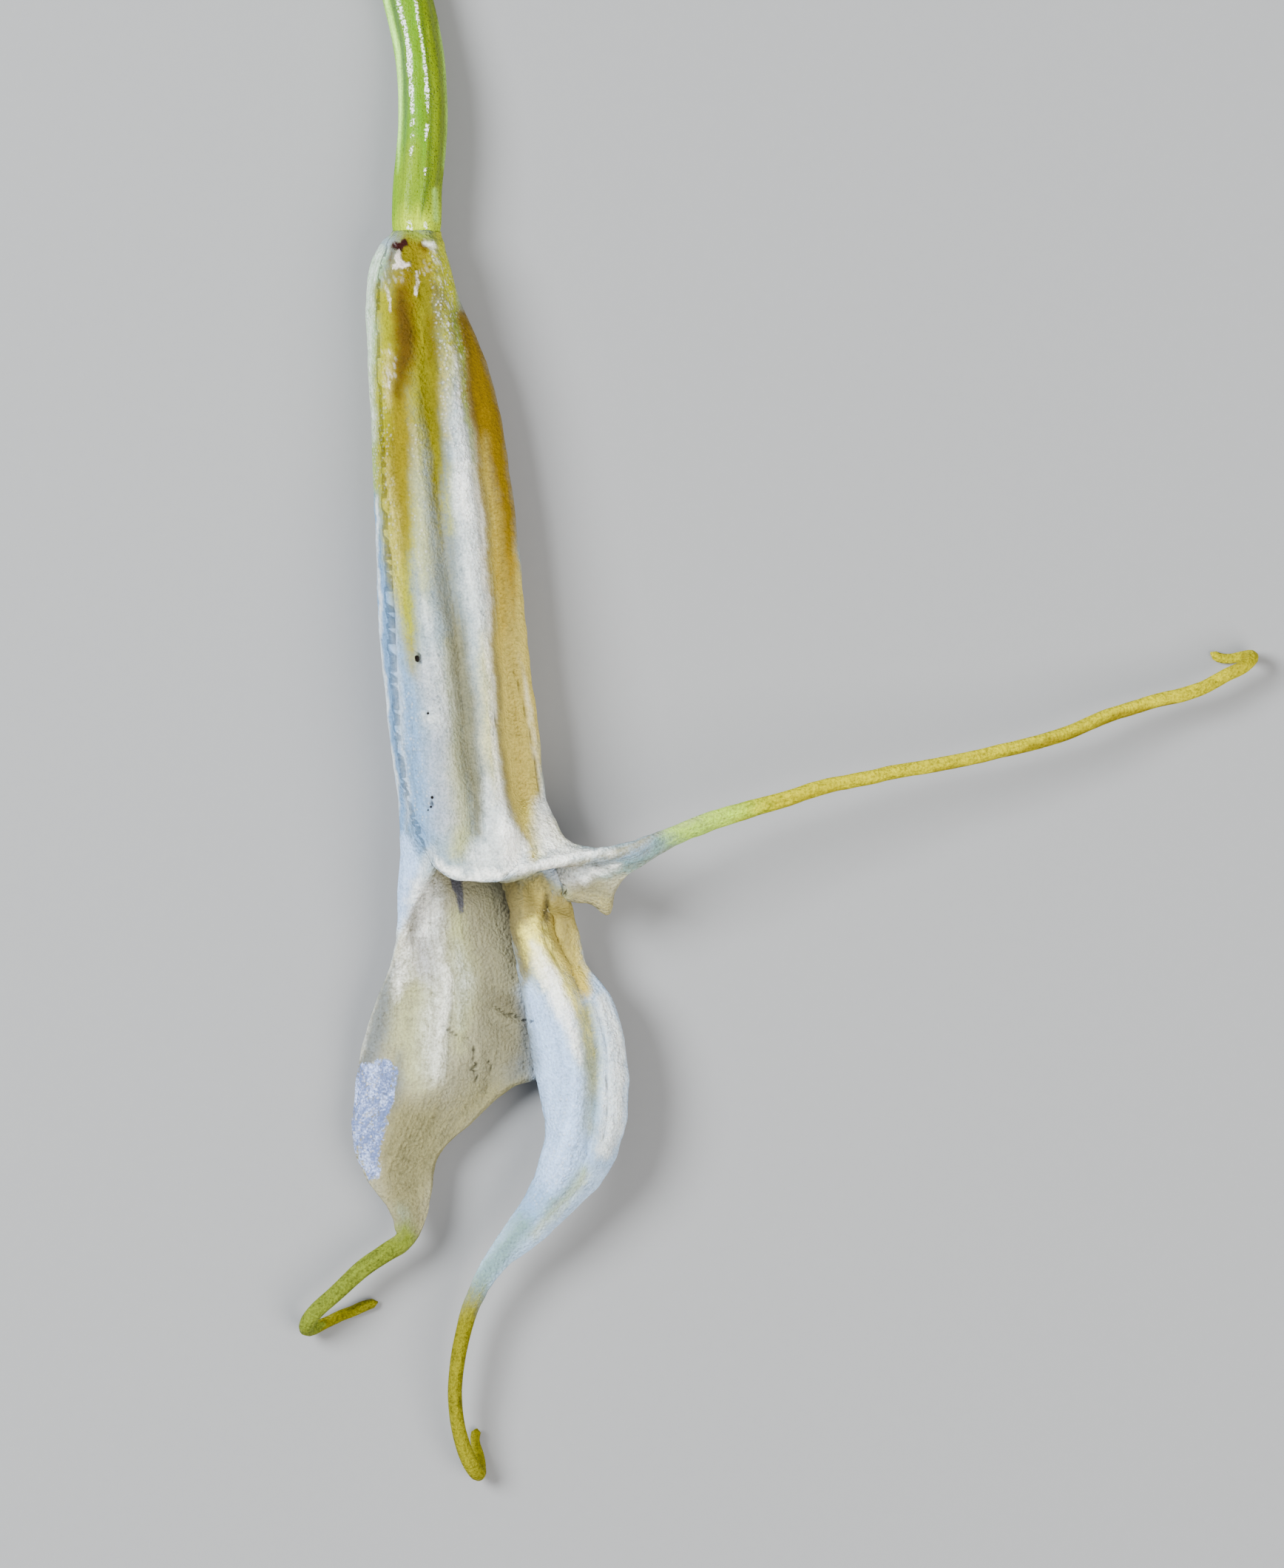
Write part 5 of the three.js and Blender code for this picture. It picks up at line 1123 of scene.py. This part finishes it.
               below=4),
    ],
    # raised beads that carry painted glints
    "beads": [
        stroke(0.15, 0.85, [-1.35, -0.35, 0.08], [-1.9, -1, 0.1], [-2.3, -2.2, 0.12], [-2.4, -4, 0.1],
               [-2.3, -6.5, 0.06], [-2.2, -9, 0.05]),
        stroke(0.2, 0.85, [0.75, -0.15, 0.08], [1, -0.9, 0.1], [1.25, -2, 0.14], [1.45, -3.2, 0.16],
               [1.7, -5, 0.14], [1.95, -7, 0.1], [2.2, -9.5, 0.08], [2.5, -12, 0.05]),
        stroke(0.3, 0.35, [-1.55, -1.6, 0.1], [-1.3, -2.2, 0.15], [-0.6, -1.7, 0.15], [0.1, -1.5, 0.15],
               [0.6, -1.9, 0.1]),
        stroke(0.3, 0.6, [-1.45, -5.6, 0.15], [-1.3, -7.2, 0.1]),
    ],
    # where painted glints sparkle as white specks
    "glitter": [
        stroke(0.2, 0.7, [-2.35, -1.5, 0.2], [-2.35, -5, 0.2], [-2.2, -9, 0.2], [-2.1, -12, 0.15]),
        stroke(0.3, 0.4, [-1.6, -6, 0.05], [-1.6, -9, 0.1], [-1.4, -13, 0.1], [-1.05, -16.5, 0.1]),
        stroke(0.4, 0.8, [0.8, -0.9, 0.2], [1.25, -2, 0.3], [1.45, -4, 0.35], [1.7, -7, 0.35], [2, -10, 0.35],
               [2.2, -13, 0.3], [2.5, -15, 0.2]),
        stroke(0.3, 0.4, [-0.1, -9, 0.1], [0, -12, 0.2], [0.3, -16, 0.2]),
        stroke(0.5, 0.7, [-2.3, -40.4, 0.5], [-2.5, -41.5, 0.5], [-2.8, -43, 0.5], [-2.4, -44.6, 0.3]),
        stroke(0.3, 0.7, [9.2, -37.5, 0.3], [9.6, -40.5, 0.4], [9.2, -43.5, 0.4]),
        stroke(0.6, 0.35, [-0.3, -22, 0.5], [-0.3, -24.5, 0.5], [0.3, -27.5, 0.4]),
        stroke(0.6, 0.4, [7, -41.5, 0.5], [7, -44, 0.5], [6.2, -46, 0.4]),
    ],
}

# The edges of the tones wander a little
toneWander = [[0.06, 4.3, 0.4], [0.03, 1.3, 1.9], [0.02, 0.5, 3.3]]      # reach, length, phase
paintFall = {
    "facing": (-0.45, -0.05),  # upward turn at which a face begins to take paint, and takes it all
    "under": -0.2,             # faces turned further down take paint at any height
    "around": 0.75,            # of the paint on the underside, for tones that go all round
    "fade": (1.3, -0.5),       # of a stroke's fade, outside its edge and inside it
}


def paintTones(piece, paint, wander=(), around=()):
    points = vertexPlaces(piece)
    xy = points[:, :2].copy()
    x, y = points[:, 0], points[:, 1]
    for reach, length, phase in wander:
        turn = 2 * math.pi / length
        xy[:, 0] += reach * np.sin(y * turn + 1.3 * np.sin(x * turn * 0.7 + phase))
        xy[:, 1] += 2 * reach * np.sin(x * turn + 1.7 * np.sin(y * turn * 0.6 + phase))
    facing = readNormals(piece)[:, 2]
    up = smoothStep(*paintFall["facing"], facing)
    outer, inner = paintFall["fade"]
    for tone, strokes in paint.items():
        bare = np.ones(len(xy))
        for part in strokes:
            outside = strokeDistance(xy, part["line"])
            share = smoothStep(outer * part["fade"], inner * part["fade"], outside) * part["amount"]
            if "top" in part:
                share *= smoothStep(*part["top"], xy[:, 1])
            if "sepal" in part:
                share *= np.abs(readNumbers(piece, "which") - part["sepal"]) < 0.5
            level = points[:, 2] > part.get("over", leastLevel)
            if "below" in part:
                level &= points[:, 2] < part["below"]
            share *= level | (facing < paintFall["under"])
            bare *= 1 - share
        reach = np.maximum(up, paintFall["around"]) if tone in around else up
        writeNumbers(piece, tone, (1 - bare) * reach)


# Tones that go on over the sides and the back
roundTones = ("linen", "mint", "cool", "pearl", "lilac", "shade", "khaki", "honeydew", "moss", "straw", "tan",
              "honey", "amber", "sage", "fern", "lemon", "mustard", "pistachio")
paintTones(sepals, sepalPaint, toneWander, roundTones)
print("sepals painted in", len(sepalPaint), "tones")


def hexColour(text):
    parts = [int(text[k:k + 2], 16) / 255 for k in (0, 2, 4)]
    return tuple(c / 12.92 if c <= 0.04045 else ((c + 0.055) / 1.055) ** 2.4 for c in parts) + (1.0,)


def colours(**codes):
    return {name: hexColour(code) for name, code in codes.items()}


# A socket that stands in sums as a number would. Each operation adds its Math node.
class Reading:
    def __init__(self, surface, socket):
        self.surface, self.socket = surface, socket

    def math(self, operation, *values):
        node = self.surface.add("ShaderNodeMath", {"operation": operation}, dict(enumerate(values)))
        return Reading(self.surface, node.outputs[0])

    def __add__(self, other):
        return self.math("ADD", self, other)

    def __radd__(self, other):
        return self.math("ADD", other, self)

    def __sub__(self, other):
        return self.math("SUBTRACT", self, other)

    def __rsub__(self, other):
        return self.math("SUBTRACT", other, self)

    def __mul__(self, other):
        return self.math("MULTIPLY", self, other)

    def __rmul__(self, other):
        return self.math("MULTIPLY", other, self)

    def most(self, other):
        return self.math("MAXIMUM", self, other)

    def least(self, other):
        return self.math("MINIMUM", self, other)

    def between(self, low, high):        # 0 at low, 1 at high and smooth in between
        return Reading(self.surface, self.surface.add(
            "ShaderNodeMapRange", {"interpolation_type": "SMOOTHSTEP"},
            {"Value": self, "From Min": low, "From Max": high}).outputs["Result"])


class Surface:
    def __init__(self, name):
        self.material = bpy.data.materials.new(name)
        self.material.use_nodes = True
        self.tree = self.material.node_tree
        self.shader = self.tree.nodes["Principled BSDF"]
        self.place = self.add("ShaderNodeTexCoord").outputs["Object"]

    def add(self, kind, settings=None, inputs=None):
        node = self.tree.nodes.new(kind)
        for key, value in (settings or {}).items():
            setattr(node, key, value)
        for key, value in (inputs or {}).items():
            self.give(node.inputs[key], value)
        return node

    def give(self, socket, value):
        if isinstance(value, Reading):
            value = value.socket
        if isinstance(value, bpy.types.NodeSocket):
            self.tree.links.new(value, socket)
        else:
            socket.default_value = value

    def number(self, name):
        return Reading(self, self.add("ShaderNodeAttribute", {"attribute_name": name}).outputs["Fac"])

    def vector(self, operation, *values):
        return self.add("ShaderNodeVectorMath", {"operation": operation}, dict(enumerate(values))).outputs

    def where(self, stretch):            # object coordinates, times a factor for each axis
        return self.vector("MULTIPLY", self.place, stretch)[0]

    def grown(self, stretch):            # along and across the sepal as it grew
        inputs = {"X": self.number("across"), "Y": self.number("lengthwise") * stretch,
                  "Z": self.number("which") * 0.02}
        return self.add("ShaderNodeCombineXYZ", None, inputs).outputs[0]

    def noise(self, size, detail=3.0, rough=0.55, stretch=None, place=None):        # size in millimetres
        inputs = {"Vector": place or (self.where(stretch) if stretch else self.place),
                  "Scale": 1000 / size, "Detail": detail, "Roughness": rough}
        return Reading(self, self.add("ShaderNodeTexNoise", None, inputs).outputs[0])

    def cells(self, size, output="Distance", place=None):
        inputs = {"Vector": place or self.place, "Scale": 1000 / size}
        return Reading(self, self.add("ShaderNodeTexVoronoi", None, inputs).outputs[output])

    def spots(self, spots, ragged):      # small round marks at x, y, z, half as wide as their last number
        best = None
        for x, y, z, half in spots:
            off = self.vector("SUBTRACT", self.place, metres([x, y, z]))[0]
            near = self.vector("MULTIPLY", off, (1000, 1000, 150))[0]
            length = Reading(self, self.vector("LENGTH", near)["Value"])
            spot = (length + ragged).between(half * 1.35, half * 0.7)
            best = best.most(spot) if best else spot
        return best

    def mix(self, share, one, two):
        return self.add("ShaderNodeMix", {"data_type": "RGBA"}, {0: share, 6: one, 7: two}).outputs[2]

    def times(self, tone, share):        # a colour made darker or lighter
        grey = self.add("ShaderNodeCombineColor", None, {0: share, 1: share, 2: share}).outputs[0]
        settings = {"data_type": "RGBA", "blend_type": "MULTIPLY"}
        return self.add("ShaderNodeMix", settings, {0: 1.0, 6: tone, 7: grey}).outputs[2]

    def bump(self, height, distance):
        inputs = {"Height": height, "Distance": distance * 0.001, "Strength": 1.0}
        return self.add("ShaderNodeBump", None, inputs).outputs[0]

    def finish(self, **values):
        for key, value in values.items():
            self.give(self.shader.inputs[key.replace("_", " ")], value)
        return self.material


# Some tones stand in for light: the bright rim, crest and edge lines, the glints and the bluish sheen are
# painted highlights; the groove, crease, hollow, slit and hole tones are painted shade; the brown, ochre and
# cream tones are partly the flower's colour and partly painted shadow or highlight
sepalColours = colours(
    outer="8B9CA2", inner="9A967A", rightInner="AAC3DE", mint="8DB37A", cool="6A8FB4", pearl="AAC6EA",
    linen="A6A976", lilac="A8A6AE", moss="686300", honeydew="9A9A20", straw="8E8E00", gold="746700",
    dusk="6C6A50", tan="C8B65C", honey="BA9A08", amber="8C7000", rust="5E4A00", lime="76861E", shade="6E6B50",
    umber="4B432F", khaki="7A7551", sage="67847A", white="CBD1CE", glow="FFFFF6", cream="FFF070",
    brown="4A3600", patch="5C70A2", maroon="2A0A06", bud="D3C9BC", slit="505055", butter="C6BA66",
    thread="FFFFF4", pit="120C08", ash="646A6C", cocoa="72673B", citron="B4B808", pistachio="A4C832",
    lemon="ACA300", ochre="7A6C00", fern="6A7620", mustard="74700A", ice="B4C6F0", spark="FFFFFF")
sepalLook = {
    "grain": 0.72,             # how much the fine grain darkens and lightens the tones
    "grainSize": 0.12,
    "mottleSize": 0.42,
    "cloudSize": 2.2,
    "frostSize": 0.5,
    "veinSize": 0.24,
    "veinStretch": 0.055,      # of the veins' width to their length
    "pebbleSize": 0.17,
    "ragged": 2.8,             # how far the grain moves the edge of a tone
    "speckSize": 0.17,
    "beadSize": 0.2,
    "beadStretch": 0.45,
    "relief": 0.11,
    # small holes, painted dark as the shade inside them: x, y, z and half of the width
    "pits": [[-0.02, -20.18, 5.4, 0.1], [0.0, -20.28, 5.4, 0.09], [0.52, -22.85, 5.8, 0.06],
             [0.72, -26.9, 5.9, 0.07], [0.66, -27.35, 5.85, 0.05], [0.52, -27.5, 5.7, 0.04]],
}
toneOrder = ("linen", "mint", "cool", "pearl", "lilac", "shade", "ash", "khaki", "dusk", "honeydew", "moss",
             "straw", "gold", "tan", "honey", "amber", "rust", "cocoa", "sage", "pistachio", "lemon", "fern",
             "mustard", "ochre", "umber", "white", "cream", "butter", "glow", "lime", "citron", "brown")


def sepalMaterial():
    s = Surface("sepal flesh")
    tones, look = sepalColours, sepalLook
    grown = s.grown(look["veinStretch"])
    drawn = s.grown(look["beadStretch"])
    fine = s.noise(look["grainSize"], 2.5, 0.65)
    mid = s.noise(look["mottleSize"], 3.0, 0.6)
    wide = s.noise(look["cloudSize"], 2.0, 0.5)
    veins = s.noise(look["veinSize"], 3.0, 0.6, place=grown)
    broad = s.noise(look["veinSize"] * 3, 2.0, 0.5, place=grown)
    pebble = s.cells(look["pebbleSize"])
    ragged = (mid - 0.5) * 0.9 + (fine - 0.5) * 0.9 + (veins - 0.5) * 0.9
    innerSide = s.number("inner")
    rightShare = 1 - ((s.number("which") - 1) * (s.number("which") - 1)).least(1)
    tone = s.mix(rightShare, tones["inner"], tones["rightInner"])
    tone = s.mix(innerSide, tones["outer"], tone)
    tail = (s.number("tail") + (veins - 0.5) * 0.5).between(0.1, 0.95)
    tone = s.mix(tail, tone, s.mix(s.number("which").least(1), tones["lemon"], tones["mustard"]))
    # these tones include painted highlights and painted shade, as marked where they are drawn
    for mask in toneOrder:
        share = s.number(mask)
        tone = s.mix(share + share * (1 - share) * look["ragged"] * ragged, tone, tones[mask])
    # painted bluish sheen on the left sepal's turned-back margin, with bright flecks
    frost = (fine * 0.7 + s.noise(look["frostSize"], 3.0, 0.6, place=drawn) * 0.8).between(0.68, 0.98)
    patch = s.number("patch")
    patch = (patch + patch * ragged * 2.5).between(0.3, 0.65)
    tone = s.mix(patch * 0.9, tone, s.mix(frost, tones["patch"], tones["ice"]))
    # the maroon spot and pale bud are the flower's own; the slit tone is painted shade
    for mask in ("maroon", "bud", "slit"):
        tone = s.mix((s.number(mask) + ragged * 0.7).between(0.25, 0.8), tone, tones[mask])
    # painted highlight lines along ridges, fold edges and margins
    tone = s.mix(s.number("thread") * (0.55 + mid * 0.6), tone, tones["thread"])
    spread = (fine - 0.5) * 1.4 + (mid - 0.5) * 0.8 + (veins - 0.5) * 0.8 + (broad - 0.5) * 0.5
    spread = spread + (wide - 0.5) * 0.25 + (0.45 - pebble) * 0.25
    tone = s.times(tone, 1 + spread * look["grain"] * (1 + 0.6 * tail))
    # painted glints: bright white specks and beads, also glossier and raised
    lit = s.cells(look["speckSize"], "Color").between(0.4, 0.8)
    speck = s.number("glitter") * lit * (s.cells(look["speckSize"]) + (fine - 0.5) * 1.4).between(0.6, 0.05)
    lit = s.cells(look["beadSize"], "Color", drawn).between(0.3, 0.7)
    bead = (s.cells(look["beadSize"], "Distance", drawn) + (fine - 0.5) * 1.2).between(0.6, 0.1)
    bead = s.number("beads") * lit * bead
    wet = speck.most(bead)
    tone = s.mix(wet * 0.7, tone, tones["spark"])
    # painted shade along the cracks, which also sink into the bump
    crack = (s.number("crack") + (fine - 0.5) * 0.7 + (mid - 0.5) * 0.5).between(0.35, 1.2)
    tone = s.times(tone, 1 - crack * 0.75)
    # painted shade inside the small holes
    pit = s.spots(look["pits"], (fine - 0.5) * 0.06)
    tone = s.mix(pit, tone, tones["pit"])
    height = fine * 0.8 + mid * 0.7 + veins * 0.7 - pebble * 0.5 - crack * 1.0 + wet * 0.8 - pit
    rough = 0.62 - (fine - 0.5) * 0.5 - wet * 0.35
    return s.finish(
        Base_Color=tone, Roughness=rough, Normal=s.bump(height, look["relief"]),
        Subsurface_Weight=0.12, Subsurface_Radius=(0.9, 0.6, 0.35), Subsurface_Scale=0.0006,
        Specular_IOR_Level=0.08)


sepals.data.materials.clear()
sepals.data.materials.append(sepalMaterial())

# The white for the rib crests and the pale green for the sides are painted highlights; the dark groove green
# is painted shade
stemColours = colours(
    skin="628A00", left="5C8E06", olive="667A00", dots="24340A", pale="BEFA7A", lime="708C00", grey="48663A",
    shine="FFFFFF", pith="A9B86A", groove="3E5600", bright="AEC606")
stemLook = {
    "grainSize": 0.1,
    "mottleSize": 0.5,
    "streakSize": 0.2,
    "dotSize": 0.13,
    "pithSize": 0.22,
    "relief": 0.06,
}


def stemMaterial():
    s = Surface("stem skin")
    tones, look = stemColours, stemLook
    fine = s.noise(look["grainSize"], 2.0, 0.6)
    mid = s.noise(look["mottleSize"], 3.0, 0.6, stretch=(1.0, 0.3, 1.0))
    streaks = s.noise(look["streakSize"], 3.0, 0.6, stretch=(1.0, 0.06, 1.0))
    ragged = (fine - 0.5) * 0.5 + (streaks - 0.5) * 0.9
    tone = s.mix((mid + streaks * 0.6).between(0.6, 0.95), tones["skin"], tones["left"])
    # the groove tone is painted shade in a rib valley, and the pale tone painted highlight along the sides
    for mask in ("lime", "olive", "grey", "bright", "groove", "pale"):
        share = s.number(mask)
        tone = s.mix(share + share * (1 - share) * 2.0 * ragged, tone, tones[mask])
    dots = (s.cells(look["dotSize"]) + (fine - 0.5) * 0.5).between(0.42, 0.1)
    tone = s.mix(dots * (0.15 + 0.4 * s.number("olive")), tone, tones["dots"])
    tone = s.times(tone, 1 + (fine - 0.5) * 0.9 + (streaks - 0.5) * 0.7)
    # painted highlights on the rib crests, which are also glossier
    shine = (s.number("shine") * (0.8 + (fine - 0.5) * 4.5 + (streaks - 0.5) * 1.2)).between(0.3, 0.9)
    tone = s.mix(shine * 0.9, tone, tones["shine"])
    cut = s.number("cut")
    pith = s.mix((s.cells(look["pithSize"]) + fine * 0.3).between(0.2, 0.4), tones["olive"], tones["pith"])
    tone = s.mix(cut, tone, pith)
    height = fine * 0.5 + streaks * 0.8 + mid * 0.8 - dots * 0.2
    return s.finish(
        Base_Color=tone, Roughness=0.34 - shine * 0.16 + cut * 0.3 + (fine - 0.5) * 0.2,
        Normal=s.bump(height, look["relief"]), Subsurface_Weight=0.1, Subsurface_Radius=(0.5, 0.7, 0.2),
        Subsurface_Scale=0.0006, Specular_IOR_Level=0.14)


paintTones(stem, stemPaint)
# The insets keep the old ring innermost, so the cut face is that ring and the newest one
count, sides = len(stem.data.vertices), stemForm["sides"]
cutFace = np.zeros(count)
cutFace[-sides:] = cutFace[-3 * sides:-2 * sides] = 1
writeNumbers(stem, "cut", cutFace)
stem.data.materials.clear()
stem.data.materials.append(stemMaterial())

# The organs inside the tube: finer copies of the solids, with a skin of their own
organLook = {
    "column": {"slot": "column", "main": "C9B476", "second": "A58A3C", "spots": "7A3A22", "share": 0.35,
               "size": 0.5, "warts": 0.02},
    "lip": {"slot": "lip", "main": "8A3A1C", "second": "B4743A", "spots": "4A140C", "share": 0.6,
            "size": 0.35, "warts": 0.08},
    "petal_left": {"slot": "petal", "main": "CDBB8C", "second": "B69C58", "spots": "8A4A2A", "share": 0.25,
                   "size": 0.6, "warts": 0.02},
    "petal_right": {"slot": "petal", "main": "CDBB8C", "second": "B69C58", "spots": "8A4A2A", "share": 0.25,
                    "size": 0.6, "warts": 0.02},
    "anther_cap": {"slot": "anther", "main": "EFE6C8", "second": "D8C88E", "spots": "9A6A3A", "share": 0.15,
                   "size": 0.4, "warts": 0.03},
    "pollinia": {"slot": "pollen_wax", "main": "E2B63A", "second": "C8901C", "spots": "F4DC8A", "share": 0.3,
                 "size": 0.2, "warts": 0.01},
}
wartSize = 0.3


def organMaterial(name, look):
    s = Surface(name + " skin")
    fine = s.noise(0.08, 3.0, 0.6)
    mid = s.noise(look["size"], 3.0, 0.6)
    veins = s.noise(0.2, 3.0, 0.55, stretch=(1.0, 0.15, 1.0))
    tone = s.mix((mid + veins * 0.5).between(0.55, 0.95), hexColour(look["main"]), hexColour(look["second"]))
    spots = (s.cells(look["size"] * 0.6) + (fine - 0.5) * 0.4).between(0.34, 0.18)
    tone = s.mix(spots * look["share"], tone, hexColour(look["spots"]))
    tone = s.times(tone, 0.8 + fine * 0.4)
    return s.finish(
        Base_Color=tone, Roughness=0.5 - (fine - 0.5) * 0.3, Normal=s.bump(fine + veins + spots, 0.05),
        Subsurface_Weight=0.15, Subsurface_Radius=(0.6, 0.4, 0.2), Subsurface_Scale=0.0006)


def buildOrgan(name, look):
    deselectAll()
    piece = nodes[name].copy()
    piece.data = nodes[name].data.copy()
    bpy.context.scene.collection.objects.link(piece)
    piece.name = name + "_tissue"
    pick(piece)
    mergeDoubles()
    smooth = piece.modifiers.new("smooth", "SUBSURF")
    smooth.levels = smooth.render_levels = 2
    applyModifiers(piece)
    bpy.ops.object.shade_smooth()
    softWaves(piece, wartSize, look["warts"])
    piece.data.materials.clear()
    piece.data.materials.append(organMaterial(name, look))
    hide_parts(name)
    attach(piece, "root")


for name, look in organLook.items():
    buildOrgan(name, look)
print("organs:", ", ".join(organLook))

studio = {
    "floorSize": 1.2,
    "floorGap": 0.00002,       # under the flower, so the two never fight
    "floorColour": (0.27, 0.273, 0.276, 1),
    "floorGrain": 0.6,
    "floorCloud": 30,
    "viewCentre": [10.8, -26.25, 3.0],
    "viewHeight": 75.7,        # of the frame, at the flower
    "lens": 300,
    "sensor": 36,
    # place, size, power and colour
    "lights": {
        "key light": [(-0.34, 0.12, 0.38), 0.26, 7.0, (0.95, 0.98, 1.0)],
        "fill light": [(0.26, -0.2, 0.42), 0.4, 3.8, (1.0, 0.96, 0.9)],
    },
    "skyColour": (0.9, 0.93, 1.0, 1),
    "skyStrength": 0.55,
}


def floorMaterial():
    s = Surface("pale floor")
    fine = s.noise(studio["floorGrain"], 3.0, 0.6)
    wide = s.noise(studio["floorCloud"], 2.0, 0.5)
    tone = s.times(studio["floorColour"], 0.97 + fine * 0.04 + wide * 0.03)
    return s.finish(Base_Color=tone, Roughness=0.85, Normal=s.bump(fine, 0.01), Specular_IOR_Level=0.2)


middle = metres(studio["viewCentre"])
deselectAll()
bpy.ops.mesh.primitive_plane_add(size=studio["floorSize"], location=(0, 0, -studio["floorGap"]))
floor = bpy.context.object
floor.name = "floor"
floor.data.materials.append(floorMaterial())

camera = bpy.data.cameras.new("camera")
camera.sensor_fit = "VERTICAL"
camera.sensor_height = studio["sensor"]
camera.lens = studio["lens"]
camera.clip_start = 0.01
eye = bpy.data.objects.new("camera", camera)
bpy.context.scene.collection.objects.link(eye)
distance = studio["viewHeight"] * 0.001 * studio["lens"] / studio["sensor"]
eye.location = (middle[0], middle[1], middle[2] + distance)
bpy.context.scene.camera = eye


def softLight(name, place, size, power, colour):
    light = bpy.data.lights.new(name, "AREA")
    light.shape = "DISK"
    light.size = size
    light.energy = power
    light.color = colour
    lamp = bpy.data.objects.new(name, light)
    bpy.context.scene.collection.objects.link(lamp)
    lamp.location = place
    aim = middle - np.array(place)
    lamp.rotation_euler = (math.atan2(math.hypot(aim[0], aim[1]), -aim[2]), 0, math.atan2(-aim[0], aim[1]))


for name, light in studio["lights"].items():
    softLight(name, *light)
world = bpy.data.worlds.new("studio")
world.use_nodes = True
sky = world.node_tree.nodes["Background"]
sky.inputs["Color"].default_value = studio["skyColour"]
sky.inputs["Strength"].default_value = studio["skyStrength"]
bpy.context.scene.world = world
print("studio: floor, camera and", len(studio["lights"]), "lights")
